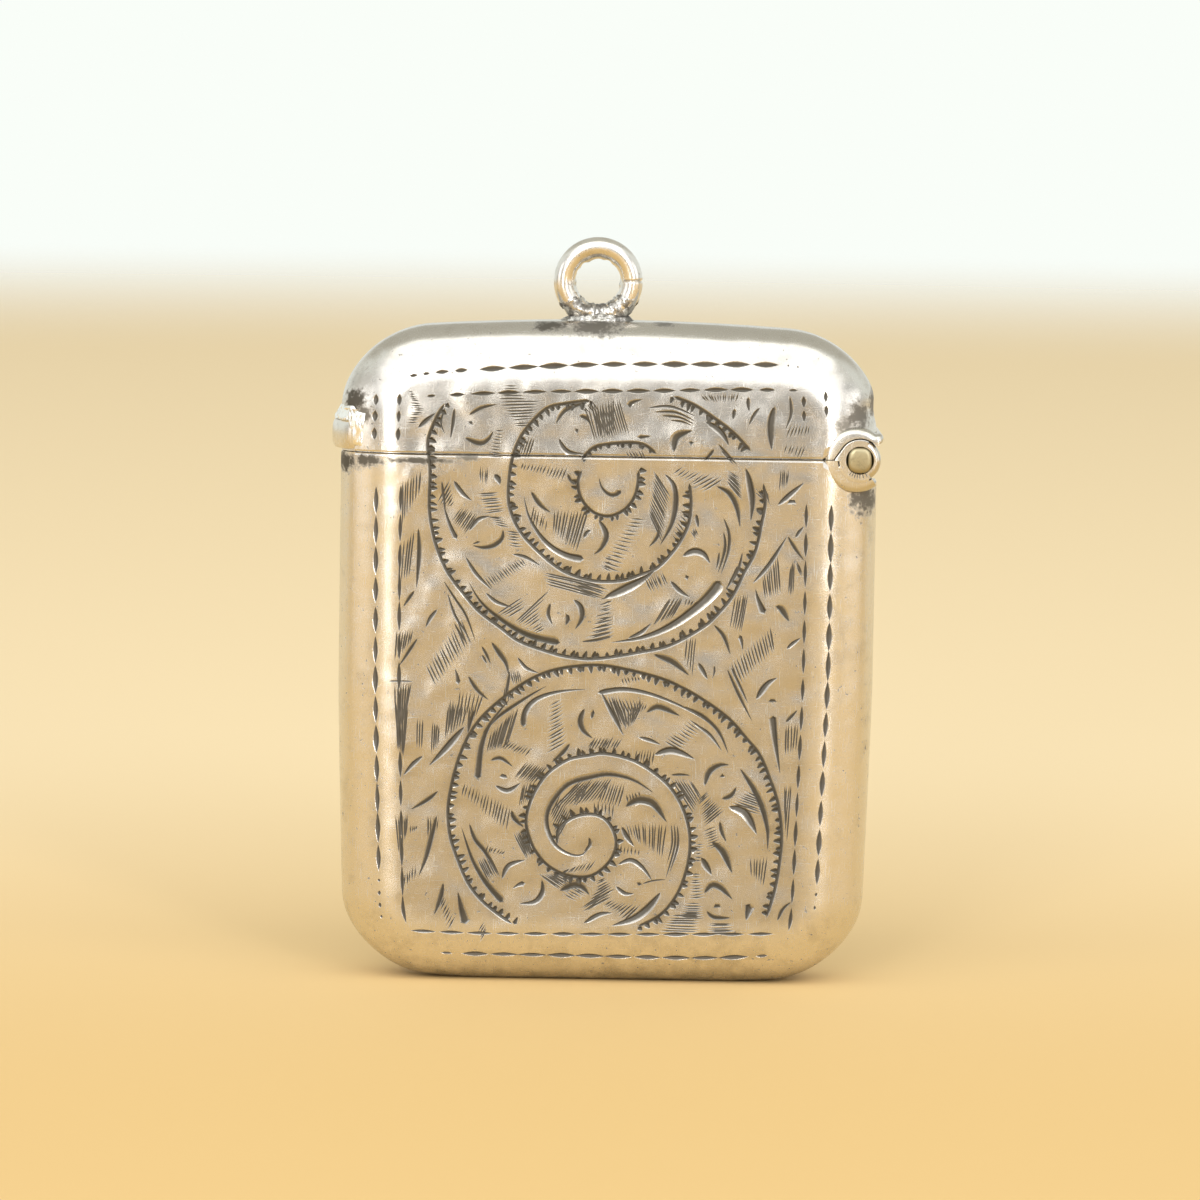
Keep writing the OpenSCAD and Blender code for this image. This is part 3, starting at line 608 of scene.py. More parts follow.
rulings = {  # shading: how many lines, both ends of the first and both ends of the last
    "upperLeft": [
        (7, (470, 240), (462, 490), (560, 185), (552, 330)), (5, (462, 560), (445, 790), (530, 500), (500, 760)),
        (7, (440, 1020), (425, 1190), (525, 1010), (500, 1110)),
        (7, (425, 1300), (430, 1568), (515, 1290), (470, 1500)),
        (15, (765, 955), (825, 1105), (585, 1200), (645, 1325)),
        (5, (1030, 1235), (1050, 1320), (1070, 1225), (1085, 1310)),
        (5, (1000, 1310), (990, 1430), (1045, 1340), (1040, 1390)),
        (5, (715, 1380), (695, 1560), (775, 1400), (745, 1540)),
        (7, (765, 1330), (745, 1500), (890, 1350), (850, 1470)),
        (3, (620, 1505), (618, 1568), (650, 1510), (640, 1568)), (6, (722, 235), (645, 370), (740, 345), (712, 385)),
        (9, (785, 370), (720, 465), (865, 410), (785, 528)), (8, (850, 315), (975, 305), (890, 415), (1010, 400)),
        (5, (905, 430), (1000, 440), (935, 465), (1040, 490)), (6, (1000, 505), (1080, 515), (1010, 580), (1110, 590)),
        (4, (872, 160), (875, 270), (915, 165), (908, 275)), (14, (1100, 150), (1085, 190), (1330, 165), (1290, 255)),
        (16, (888, 735), (950, 818), (1075, 640), (1120, 695)), (4, (955, 945), (1105, 850), (1000, 965), (1115, 895)),
        (3, (1050, 990), (1240, 810), (1062, 1005), (1200, 900)),
        (6, (1080, 1005), (1195, 920), (1160, 1045), (1215, 1010)),
        (5, (1200, 725), (1540, 800), (1205, 780), (1500, 860)),
        (8, (1490, 870), (1568, 840), (1440, 1075), (1568, 1040)),
        (6, (1155, 365), (1130, 480), (1225, 440), (1210, 520)),
        (11, (1265, 385), (1250, 530), (1438, 395), (1370, 628)),
        (5, (1500, 690), (1568, 720), (1530, 640), (1568, 650)),
    ],
    "upperRight": [
        (14, (390, 175), (480, 320), (362, 375), (440, 535)), (7, (520, 370), (570, 420), (480, 490), (530, 545)),
        (14, (265, 415), (365, 425), (125, 640), (235, 675)), (10, (480, 205), (540, 160), (625, 285), (745, 215)),
        (9, (745, 170), (830, 230), (750, 230), (835, 330)), (9, (470, 800), (385, 945), (545, 790), (470, 915)),
        (4, (560, 800), (545, 850), (608, 815), (585, 845)), (9, (350, 700), (390, 785), (430, 665), (465, 750)),
        (5, (0, 710), (185, 770), (0, 760), (150, 805)), (10, (140, 830), (200, 815), (50, 1015), (210, 985)),
        (5, (1015, 165), (1010, 285), (1060, 165), (1045, 270)), (8, (925, 690), (945, 820), (1000, 590), (1012, 790)),
        (4, (1065, 640), (1055, 790), (1085, 610), (1075, 800)),
        (3, (1085, 610), (1125, 690), (1090, 640), (1125, 710)), (6, (800, 780), (770, 960), (860, 770), (820, 985)),
        (15, (965, 935), (990, 1075), (770, 1110), (820, 1240)), (4, (560, 990), (545, 1130), (605, 985), (580, 1200)),
        (6, (235, 1185), (250, 1235), (315, 1185), (325, 1215)),
        (5, (165, 1270), (240, 1450), (215, 1280), (270, 1440)),
        (6, (230, 1290), (285, 1400), (330, 1290), (330, 1370)), (4, (570, 470), (600, 520), (590, 455), (612, 500)),
        (6, (885, 280), (940, 330), (930, 250), (965, 350)),
    ],
    "lowerLeft": [
        (6, (430, -10), (432, 250), (490, 0), (462, 290)), (3, (540, 70), (535, 245), (570, 70), (560, 245)),
        (4, (618, 95), (612, 270), (655, 100), (640, 230)), (7, (705, 0), (680, 190), (800, 0), (770, 130)),
        (4, (820, 0), (800, 120), (870, -20), (850, 70)), (7, (415, 580), (425, 800), (480, 570), (465, 700)),
        (4, (490, 630), (485, 690), (525, 630), (515, 670)), (5, (455, 880), (450, 970), (510, 840), (500, 930)),
        (4, (582, 575), (580, 700), (640, 590), (625, 680)), (7, (670, 1000), (630, 1080), (720, 1110), (670, 1200)),
        (4, (880, 1140), (840, 1200), (890, 1180), (850, 1255)), (13, (1075, 10), (1000, 240), (935, 130), (900, 265)),
        (9, (1030, 190), (975, 235), (1140, 225), (1095, 280)),
        (10, (1120, 295), (1035, 395), (1225, 325), (1140, 425)),
        (6, (1095, 410), (1065, 545), (1150, 405), (1120, 520)),
        (13, (1220, 15), (1310, -30), (1215, 260), (1330, 195)),
        (6, (1470, 175), (1430, 240), (1568, 165), (1530, 245)), (16, (788, 405), (765, 490), (1025, 530), (995, 680)),
        (7, (900, 735), (890, 790), (1000, 770), (965, 795)), (8, (838, 800), (905, 940), (905, 790), (965, 910)),
        (9, (1035, 670), (1110, 825), (1100, 640), (1150, 790)),
        (9, (1165, 890), (1290, 985), (1250, 880), (1370, 930)),
        (5, (1290, 990), (1380, 1040), (1350, 960), (1430, 1010)),
        (7, (1540, 930), (1470, 975), (1568, 1010), (1395, 1095)),
        (12, (1400, 400), (1240, 560), (1568, 380), (1470, 520)),
        (9, (1290, 480), (1230, 600), (1350, 560), (1260, 720)),
        (9, (1320, 870), (1290, 895), (1480, 810), (1420, 890)),
    ],
    "lowerRight": [
        (5, (1048, 100), (1045, 260), (1105, 90), (1095, 240)), (4, (1045, 395), (1050, 560), (1080, 390), (1060, 690)),
        (6, (300, 10), (285, 60), (365, -10), (340, 40)), (7, (225, 0), (260, 130), (345, -20), (290, 110)),
        (10, (110, 160), (75, 230), (245, 160), (200, 235)), (7, (315, 215), (300, 290), (400, 215), (385, 310)),
        (10, (440, 180), (540, 235), (560, 70), (650, 130)), (8, (482, 365), (600, 548), (575, 370), (640, 470)),
        (12, (665, 425), (615, 480), (755, 515), (640, 610)), (8, (840, 425), (940, 470), (775, 500), (935, 545)),
        (6, (885, 750), (890, 860), (970, 745), (950, 910)), (8, (720, 600), (635, 635), (750, 690), (660, 720)),
        (6, (600, 690), (655, 690), (600, 770), (640, 770)), (9, (585, 840), (640, 840), (570, 960), (660, 950)),
        (8, (550, 985), (650, 985), (520, 1060), (660, 1060)), (7, (480, 1045), (640, 1045), (430, 1120), (640, 1125)),
        (6, (670, 1085), (810, 1085), (670, 1135), (820, 1135)), (6, (20, 400), (5, 500), (70, 385), (30, 490)),
        (8, (165, 375), (120, 500), (255, 385), (215, 520)), (6, (100, 470), (105, 545), (200, 480), (190, 570)),
        (5, (262, 440), (270, 490), (320, 430), (330, 460)), (13, (255, 580), (285, 670), (460, 580), (440, 770)),
        (7, (225, 680), (215, 745), (330, 710), (320, 755)), (7, (170, 850), (105, 880), (210, 905), (110, 960)),
        (4, (150, 930), (30, 1010), (170, 950), (60, 1020)), (9, (200, 965), (140, 1000), (340, 985), (240, 1075)),
    ],
    "lidLeft": [
        (8, (500, 870), (525, 870), (510, 960), (590, 965)), (6, (515, 975), (590, 978), (480, 1040), (560, 1040)),
        (9, (945, 1080), (1000, 1090), (900, 1210), (1000, 1220)),
        (5, (990, 845), (1080, 850), (960, 915), (1130, 920)), (9, (965, 935), (1200, 930), (1040, 1060), (1140, 1055)),
        (5, (1100, 1110), (1070, 1215), (1160, 1105), (1120, 1230)),
        (11, (1420, 960), (1480, 1150), (1568, 900), (1568, 1100)),
    ],
    "lidRight": [
        (13, (620, 835), (660, 880), (810, 820), (790, 880)), (7, (1075, 975), (1040, 1060), (1160, 975), (1140, 1055)),
        (6, (1050, 1075), (1030, 1130), (1140, 1075), (1110, 1160)), (5, (40, 905), (75, 935), (90, 865), (130, 930)),
        (12, (100, 930), (150, 1060), (220, 850), (275, 1045)), (6, (250, 1110), (285, 1150), (330, 1105), (355, 1160)),
    ],
}


foliage = {"widen": 1.25, "lean": 0.35, "step": 0.22, "stain": 1.3}


def cutFoliage():
    lean = foliage["lean"]
    for square, drawn in marks.items():
        size = sheet["unit"] / squares[square][2] * foliage["widen"]
        for shape, width, *path in drawn:
            run = [onCase(p, square) for p in path]
            cut(run, width * size, shape, random.choice((-lean, lean)), foliage["step"], stain=foliage["stain"])
    for square, drawn in rulings.items():
        for count, *ends in drawn:
            hatch(count, *ends, square)


cutBorders()
cutScrolls()
cutFoliage()
print("engraving drawn:", len(cuts), "cuts")

# how finely a shell is meshed, in mm and steps
weave = {
    "rimSteps": 70, "notchSteps": 14, "notchEnd": 0.93, "shoulder": (1.3, 1.65, 2.0, 2.4, 2.8, 3.2, 3.6, 4.0),
    "pitch": 0.6, "rowPitch": 0.87, "foot": 4.3, "halfWidth": 13.8, "columns": 24, "rows": 70,
    "liningPitch": 1.4, "liningFoot": 2.0, "liningColumns": 11, "liningRows": 30,
    "cutFromBand": 0.25, "cutFromHinge": 0.2, "cutReach": 0.7,
    "shoulderClear": (0.25, 0.15), "rowClear": 0.3, "liningClear": (0.8, 0.5), "liningInset": 1.3,  # of rim and hinge
}
# where painted shade lies on a shell, in mm: in from its outline, and up from the base; it stands in for the panel's
# dark reflections, the shade on the lid's upper faces and the dark contact that the base reflects
wear = {"paintedShadeFrom": 3.3, "paintedShadeFade": 1.4, "paintedShadeTop": 0.7, "paintedShadeBase": 1.8, "baseShade": 1.5}


def clipped(run, rim):  # the pieces of a line that lie below the rim
    pieces, piece = [], []
    for i, q in enumerate(run):
        below = q[1] <= rim
        if i and below != (run[i - 1][1] <= rim):  # the line crosses the rim here
            a = run[i - 1]
            k = (rim - a[1]) / (q[1] - a[1])
            piece.append((a[0] + k * (q[0] - a[0]), rim))
        if below:
            piece.append((q[0], q[1]))
        elif piece:
            pieces.append(piece)
            piece = []
    return [p for p in pieces + [piece] if len(p) > 1]


def intoCup(points, cup):
    return np.stack([points[:, 0], form["height"] - points[:, 1] if cup["flip"] else points[:, 1]], 1)


def fitting(cup):  # the cuts that fall on this cup's front, in its own front-view points
    cx, ch, r = cup["notch"][0]
    chosen = []
    for c in cuts:
        middle = intoCup(c["middle"], cup)
        inset = insetAt(middle[:, 0], middle[:, 1])[0]
        fromHinge = np.hypot(middle[:, 0] - cx, middle[:, 1] - ch)
        onPanel = inset.min() >= form["bandEdge"] + weave["cutFromBand"]
        if onPanel and fromHinge.min() >= r + weave["cutFromHinge"] and middle[:, 1].min() < cup["rim"]:
            chosen.append({**c, "middle": middle, "left": c["left"] * np.array([1, -1 if cup["flip"] else 1])})
    return chosen


def cutDepth(flat, chosen):  # over front-view points: how deep the engraving is, how black, and how dark round it with tarnish and painted shade
    depth, stain, soil = np.zeros(len(flat)), np.zeros(len(flat)), np.zeros(len(flat))
    for c in chosen:
        m, half = c["middle"], c["half"]
        reach = half.max() + weave["cutReach"]
        near = np.where(((flat > m.min(0) - reach) & (flat < m.max(0) + reach)).all(1))[0]
        if not len(near):
            continue
        a, d = m[:-1], m[1:] - m[:-1]
        rel = flat[near][:, None, :] - a[None]
        t = np.clip((rel * d).sum(2) / np.maximum((d * d).sum(1), 1e-12), 0, 1)
        off = rel - t[:, :, None] * d
        gap = np.hypot(off[:, :, 0], off[:, :, 1])
        k = gap.argmin(1)
        pick = np.arange(len(near))
        t, gap, off = t[pick, k], gap[pick, k], off[pick, k]
        left = c["left"][k] * (1 - t)[:, None] + c["left"][k + 1] * t[:, None]
        signed = np.sign((off * left).sum(1)) * gap
        w = np.maximum(half[k] * (1 - t) + half[k + 1] * t, 1e-4)
        v = c["lean"] * w  # where the bottom of the cut lies
        share = np.where(signed > v, 1 - (signed - v) / (w - v), 1 - (v - signed) / (w + v))
        share = np.clip(share, 0, 1)
        depth[near] = np.maximum(depth[near], share * np.minimum(w * c["steep"], graver["deepest"]))
        stain[near] = np.maximum(stain[near], np.where(w > 0.01, share * c["stain"], 0))
        # round each cut: tarnish, and painted shade of the relief beside it
        gathers = graver["soil"] * np.clip((half.max() - graver["grimeAndShadeFrom"]) / graver["grimeAndShadeSpan"], 0, 1)
        soil[near] += gathers * np.exp(-np.clip((gap - w) / graver["grimeAndShadeReach"], 0, None) ** 2)
    return np.where(depth < 1e-3, 0, depth), stain, np.clip(soil, 0, 1)


def triangulate(points, edges):
    verts, _, faces, origin, _, _ = delaunay_2d_cdt([Vector(p) for p in points], edges, [], 1, 1e-5, True)
    found = {i: out for out, sources in enumerate(origin) for i in sources}
    return np.array([tuple(v) for v in verts]), [tuple(f) for f in faces], found


def rimLoop(faces):  # the outline of a patch of triangles, in order
    ways = set()
    for f in faces:
        for i in range(3):
            ways.add((f[i], f[(i + 1) % 3]))
    after = {a: b for a, b in ways if (b, a) not in ways}
    start = next(iter(after))
    loop, at = [start], after[start]
    while at != start:
        loop.append(at)
        at = after[at]
    return loop


def panelOutline(cup):  # the band's inner edge, the hinge notch and the rim
    path = edgePath(cup, form["bandEdge"])[:, :2].tolist()
    cx, ch, r = cup["notch"][0]
    start, count = math.acos((form["halfWidth"] - form["bandEdge"] - cx) / r), weave["notchSteps"]
    turns = [start + (math.pi * weave["notchEnd"] - start) * i / count for i in range(1, count + 1)]
    turns += [math.pi - math.asin((ch - cup["rim"] + t) / r) for t, s in form["rimRows"]]
    notch = [(cx + r * math.cos(a), ch - r * math.sin(a)) for a in turns]
    left, right, count = path[0][0], notch[-1][0], weave["rimSteps"]
    rim = [(right + (left - right) * i / count, cup["rim"]) for i in range(1, count)]
    return path, notch, rim


def isClear(cup, x, h, fromRim, fromHinge):
    cx, ch, r = cup["notch"][0]
    return h < cup["rim"] - fromRim and math.hypot(x - cx, h - ch) > r + fromHinge


def panelPoints(cup, chosen):  # the points and lines from which the engraved front is triangulated
    path, notch, rim = panelOutline(cup)
    points = path + notch + rim
    count, steps, pitch = len(points), weave["rimSteps"], weave["pitch"]
    edges = [(i, (i + 1) % count) for i in range(count)]
    for row in range(2):  # two rows under the rim, for its rounded edge
        first, last = 2 - row, len(path) + len(notch) - 3 + row
        x0, x1, h = points[first][0], points[last][0], cup["rim"] - form["rimRows"][row][0]
        run = [first, *range(len(points), len(points) + steps - 1), last]
        points += [(x0 + (x1 - x0) * i / steps, h) for i in range(1, steps)]
        edges += list(zip(run, run[1:]))
    for c in chosen:
        for across in (-1, c["lean"], 1):
            line = c["middle"] + c["left"] * (c["half"] * across)[:, None]
            for piece in clipped(line, cup["rim"]):
                edges += [(len(points) + i, len(points) + i + 1) for i in range(len(piece) - 1)]
                points += piece
    for inset in weave["shoulder"]:
        points += [(x, h) for x, h, _, _ in edgePath(cup, inset) if isClear(cup, x, h, *weave["shoulderClear"])]
    for i in range(-weave["columns"], weave["columns"] + 1):
        for k in range(weave["rows"]):
            x, h = i * pitch + (k % 2) * pitch / 2, weave["foot"] + k * pitch * weave["rowPitch"]
            if abs(x) < weave["halfWidth"] and h < cup["rim"] - weave["rowClear"]:
                points.append((x, h))
    return path, points, edges


def lining(cup, outline):  # the plain inside of the panel, within the same outline
    points, pitch = [tuple(p) for p in outline], weave["liningPitch"]
    edges = [(i, (i + 1) % len(outline)) for i in range(len(outline))]
    for i in range(-weave["liningColumns"], weave["liningColumns"] + 1):
        for k in range(weave["liningRows"]):
            x, h = i * pitch, weave["liningFoot"] + k * pitch
            inset = insetAt(np.array([x]), np.array([h]))[0][0]
            if inset > weave["liningInset"] and isClear(cup, x, h, *weave["liningClear"]):
                points.append((x, h))
    flat, faces, found = triangulate(points, edges)
    spots, normals = panelSurface(flat)
    return spots - normals * form["wall"], -normals, faces, found


class Skin:  # a shell so far: points with their normals and marks, and faces
    def __init__(self):
        self.points, self.normals, self.cut, self.inside, self.faces, self.creased = [], [], [], [], [], []
        self.count = 0

    def add(self, points, normals, inside, cutAt=None):
        first, self.count = self.count, self.count + len(points)
        self.points.append(points)
        self.normals.append(normals)
        self.inside.append(np.full(len(points), float(inside)))
        self.cut.append(np.zeros(len(points)) if cutAt is None else cutAt)
        return list(range(first, self.count))

    def face(self, corners, creased=False):
        self.faces.append(corners)
        self.creased.append(creased)

    def band(self, cup, offset, sign, shared, slot):  # the flank, from the middle plane to the panel's edge
        rows, rounding = [], np.array([[s] for t, s in reversed(form["rimRows"])])
        for inset, y, outward, forward in bandRows()[:-1]:
            p = edgePath(cup, inset)
            normal = np.stack([p[:, 2] * outward, np.full(len(p), forward), p[:, 3] * outward], 1)
            spots = np.stack([p[:, 0], np.full(len(p), y), p[:, 1]], 1) - normal * offset
            if sign > 0:
                spots[:3] -= normal[:3] * rounding
            rows.append(self.add(spots, normal * sign, offset > 0))
        rows.append(shared)
        for low, high in zip(rows, rows[1:]):
            for i in range(len(low) - 1):
                if low is not rows[0] or i not in slot[:-1]:
                    self.face((low[i], low[i + 1], high[i + 1], high[i])[::sign])
        return rows


def shellEdge(rows, slot, top):  # once round a shell's open edge: middle plane, striker's opening, hinge and rim
    middle = rows[0]
    if slot:
        middle = rows[0][:slot[0] + 1] + rows[1][slot[0]:slot[-1] + 1] + rows[0][slot[-1]:]
    return middle + [r[-1] for r in rows[1:-1]] + top + [r[0] for r in reversed(rows[1:-1])]


def mark(mesh, name, values):
    mesh.attributes.new(name, "FLOAT", "POINT").data.foreach_set("value", np.asarray(values, np.float32))


def shellMesh(name, cup, side, chosen, material):
    path, points, edges = panelPoints(cup, chosen)
    flat, faces, found = triangulate(points, edges)
    depth, stain, soil = cutDepth(flat, chosen)
    below, rounding = zip(*reversed(form["rimRows"]))
    rimDrop = np.interp(cup["rim"] - flat[:, 1], below, rounding)
    front, frontNormals = panelSurface(flat)
    front = front - frontNormals * (depth + rimDrop)[:, None]
    loop = rimLoop(faces)
    back, backNormals, backFaces, backFound = lining(cup, flat[loop])
    slot = [] if cup["flip"] else [i for i, (x, h) in enumerate(path) if abs(h - form["bandEdge"]) < 1e-6
                                   and abs(x) < form["slot"][0] + 0.01]

    skin = Skin()
    skin.add(front, frontNormals, False, stain)
    for f in faces:
        skin.face(f, depth[list(f)].max() > 0 or rimDrop[list(f)].max() > 0)
    pathIds = [found[i] for i in range(len(path))]
    outerRows = skin.band(cup, 0.0, 1, pathIds, slot)
    backIds = skin.add(back, backNormals, True)
    for f in backFaces:
        skin.face(tuple(backIds[i] for i in reversed(f)))
    behind = {i: backIds[backFound[k]] for k, i in enumerate(loop)}
    innerRows = skin.band(cup, form["wall"], -1, [behind[i] for i in pathIds], slot)
    at = loop.index(pathIds[-1])
    top = loop[at:] + loop[:at]
    top = top[:top.index(pathIds[0]) + 1]  # from the hinge along notch and rim to the left flank
    outside, inside = shellEdge(outerRows, slot, top), shellEdge(innerRows, slot, [behind[i] for i in top])
    for i in range(len(outside)):
        k = (i + 1) % len(outside)
        skin.face((outside[k], outside[i], inside[i], inside[k]), True)

    pressed, mirror = np.concatenate(skin.points), np.array([1, side, 1])
    spots = settle(pressed, cup) * mirror
    normals = settledNormals(pressed, np.concatenate(skin.normals), cup) * mirror
    turned = (side < 0) != cup["flip"]
    mesh = bpy.data.meshes.new(name)
    mesh.from_pydata((spots * mm).tolist(), [], [f if turned else f[::-1] for f in skin.faces])
    film, soiled = np.zeros(len(spots)), np.zeros(len(spots))
    # painted shade: the flat panel is darkened for the dark reflections it should show, the lid's upward faces for
    # their shade, and the base's foot for the dark contact it reflects
    film[:len(front)] = np.clip((insetAt(flat[:, 0], flat[:, 1])[0] - wear["paintedShadeFrom"]) / wear["paintedShadeFade"], 0, 1)
    film += np.clip(normals[:, 2], 0, 1) * wear["paintedShadeTop"] * cup["flip"]
    film += np.clip(1 - spots[:, 2] / wear["paintedShadeBase"], 0, 1)
    # tarnish and painted shade round the cuts, and painted shade at the base's foot for the dark contact it reflects
    soiled[:len(front)] = soil
    soiled += np.clip(1 - spots[:, 2] / wear["baseShade"], 0, 1)
    mark(mesh, "cut", np.concatenate(skin.cut))
    mark(mesh, "inside", np.concatenate(skin.inside))
    mark(mesh, "film", np.clip(film, 0, 1))
    mark(mesh, "soil", np.clip(soiled, 0, 1))
    mesh.polygons.foreach_set("use_smooth", [True] * len(skin.faces))
    shade = []
    for poly, creased in zip(mesh.polygons, skin.creased):
        shade += [tuple(poly.normal) if creased else tuple(normals[v]) for v in poly.vertices]
    mesh.normals_split_custom_set(shade)
    mesh.materials.append(material)
    print(name, len(mesh.polygons), "faces")
    return mesh


for half, material in (("body", bodySilver), ("lid", lidSilver)):
    chosen = fitting(cups[half])
    for face, side in (("front", -1), ("back", 1)):
        mesh = shellMesh(half + face, cups[half], side, chosen, material)
        fit(half + "Engraved" + face.title(), mesh, half, [half + "_" + face + "_shell"])
print("shells pressed")


def finishPiece(name, b, material, body, nodes=(), sharp=38):
    mesh = bpy.data.meshes.new(name)
    b.to_mesh(mesh)
    b.free()
    mesh.shade_smooth()
    mesh.set_sharp_from_angle(angle=math.radians(sharp))
    mesh.materials.append(material)
    return fit(name, mesh, body, nodes)


def skinOver(b, loops, closed=False):  # faces over matching loops of points in mm
    rings = [[b.verts.new(Vector(p) * mm) for p in loop] for loop in loops]
    made = []
    for low, high in zip(rings, rings[1:] + rings[:1] if closed else rings[1:]):
        for i in range(len(low)):
            k = (i + 1) % len(low)
            made.append(b.faces.new((low[i], low[k], high[k], high[i])))
    if not closed:
        made += [b.faces.new(rings[0]), b.faces.new(rings[-1])]
    bmesh.ops.recalc_face_normals(b, faces=made)


def sweep(name, loops, material, body, nodes=(), closed=False, sharp=38):
    b = bmesh.new()
    skinOver(b, loops, closed)
    return finishPiece(name, b, material, body, nodes, sharp)


# the hinge, drawn about the pin's axis
hinge = {
    "half": cad("body_hinge_bearer", 1, 1), "bearer": form["bearer"][1], "shift": round(pinX - form["bearer"][0], 3),
    "lip": (1.95, 50.0, 0.3),  # distance from the pin, angle and radius
    "channel": 1.48, "corner": (1.78, 0.03), "gap": form["gap"],
}
bearers = {  # first angle, arc and steps; rounding of the ends, in mm and at most as a share of the wall
    "lid": (40, 140, 56, 0.46, 0.8),
    "body": (180, 124, 50, 0.4, 0.75),
}


def discReach(a):  # from the pin's axis to the bearer's outside, at an angle
    lift, turn, r = hinge["lip"]
    reach = -hinge["shift"] * math.cos(a) + math.sqrt(hinge["bearer"] ** 2 - (hinge["shift"] * math.sin(a)) ** 2)
    off = a - math.radians(turn)
    if 0 < a < math.pi / 2 and abs(lift * math.sin(off)) < r:
        reach = max(reach, lift * math.cos(off) + math.sqrt(r * r - (lift * math.sin(off)) ** 2))
    return reach


def cornerReach(a, tube, far):  # the solder-filled corner left of a tube, at an angle
    start = math.pi - math.acos(tube / far)
    if not start < a <= math.pi:
        return tube
    p, q = Vector((tube * math.cos(start), tube * math.sin(start))), Vector((-far, hinge["corner"][1]))
    way, edge = Vector((math.cos(a), math.sin(a))), q - p
    return (p.x * edge.y - p.y * edge.x) / (way.x * edge.y - way.y * edge.x)


def roundedEnd(inner, outer, y, out, edge):  # one end of a tube's section, from its bore to its outside
    turns = [math.pi / 2 * i / 4 for i in range(5)]
    return [(inner, y)] + [(outer - edge + edge * math.sin(t), y + out * edge * (1 - math.cos(t))) for t in turns]


def aboutPin(section, a, level=None):  # level is a height from the pin that stands for the angle's own
    return [(pinX + r * math.cos(a), y, pinZ + (r * math.sin(a) if level is None else level)) for r, y in section]


def makeBearers():
    half = hinge["half"]
    for body, (start, arc, steps, rounding, share) in bearers.items():
        loops = []
        for i in range(steps + 1):
            degrees = start + arc * i / steps
            a, onLid = math.radians(degrees), body == "lid"
            inner = cornerReach(a, hinge["channel"], hinge["corner"][0]) if onLid else hinge["channel"]
            outer = discReach(a)
            edge = min(rounding, (outer - inner) * share)
            section = roundedEnd(inner, outer, -half, 1, edge) + roundedEnd(inner, outer, half, -1, edge)[::-1]
            level = hinge["gap"] if onLid else -hinge["gap"]
            loops.append(aboutPin(section, a, level if degrees == 180 else None))
        sweep(body + "HingeBearer", loops, hingeSilver, body, [body + "_hinge_bearer"])


knuckle = {
    "r": 1.4, "hole": 0.86, "solder": 1.7, "length": 1.62, "steps": 120, "countersink": 0.16, "flat": 0.42,
    "joined": (195, 295), "free": (64, 300),  # degrees: soldered to the bearer, and rounded where it shows
    "edges": (0.005, 0.34, 0.05),  # rounding where joined, free and between
    "staked": (78, 81, 84, 87, 90, 94, 98),  # steps that carry a punch mark
}


def makeEndKnuckles():
    hole, inside = knuckle["hole"], knuckle["length"] - hinge["half"] - hinge["gap"]
    joinedEdge, freeEdge, plainEdge = knuckle["edges"]
    for name, node, out in (("frontKnuckle", "body_knuckle_front", 1), ("rearKnuckle", "body_knuckle_rear", -1)):
        loops, dark = [], []
        y = -hinge["half"] * out
        for i in range(knuckle["steps"]):
            a = 2 * math.pi * i / knuckle["steps"]
            degrees = math.degrees(a)
            joined = knuckle["joined"][0] <= degrees <= knuckle["joined"][1]
            free = degrees < knuckle["free"][0] or degrees > knuckle["free"][1]
            outer = hinge["channel"] if joined else cornerReach(a, knuckle["r"], knuckle["solder"])
            edge = joinedEdge if joined else freeEdge if free else plainEdge
            reach = min(knuckle["flat"], outer - edge - hole - 0.02)
            section = [(hole, y + knuckle["countersink"] * out)]
            section += [(hole + k, y) for k in (0.08, reach * 0.6, reach)]
            section += roundedEnd(outer - edge, outer, y, out, edge)[1:]
            section += [(outer, inside * out), (hole, inside * out)]
            loops.append(aboutPin(section, a))
            dark += [1.0 if i in knuckle["staked"] and k < 3 else 0.0 for k in range(len(section))]
        piece = sweep(name, loops, knuckleSilver, "body", [node], closed=True)
        mark(piece.data, "cut", dark)


# a wire peened nearly square: half width, half height, half length, power of its section, rows from the end
pin = {"wide": 0.79, "tall": 0.85, "half": 4.13, "power": 2.8, "steps": 48,
       "ends": ((0.0, 0.62), (0.02, 0.84), (0.06, 0.95), (0.13, 1.0))}


def makePin():
    ends = [(-pin["half"] + y, r) for y, r in pin["ends"]]
    loops = []
    for y, r in ends + [(-y, r) for y, r in reversed(ends)]:
        loop = []
        for i in range(pin["steps"]):
            c, s = math.cos(2 * math.pi * i / pin["steps"]), math.sin(2 * math.pi * i / pin["steps"])
            square = (abs(c) ** pin["power"] + abs(s) ** pin["power"]) ** (1 / pin["power"])
            loop.append((pinX + pin["wide"] * r * c / square, y, pinZ + pin["tall"] * r * s / square))
        loops.append(loop)
    sweep("peenedPin", loops, pinBrass, "body", ["hinge_pin"], sharp=60)


makeBearers()
makeEndKnuckles()
makePin()
print("hinge joined")

thumb = {"low": cad("thumb_piece", 0, 2), "half": cad("thumb_piece", 1, 1), "face": 37.65, "top": 38.45, "r": 4.584,
         "x": -14.07, "foot": 0.3, "end": 0.5, "endRound": (0.16, 0.12, 0.08), "round": 0.3, "power": 0.7,
         "steps": 32, "faceSteps": 12}


def flankX(y):  # the lid's left flank at a distance from the middle plane
    up = min(1.0, max(0.0, abs(y) - form["flankY"]) / form["flankR"])
    return -form["halfWidth"] + (form["flankR"] - form["flankR"] * math.sqrt(1 - up * up))


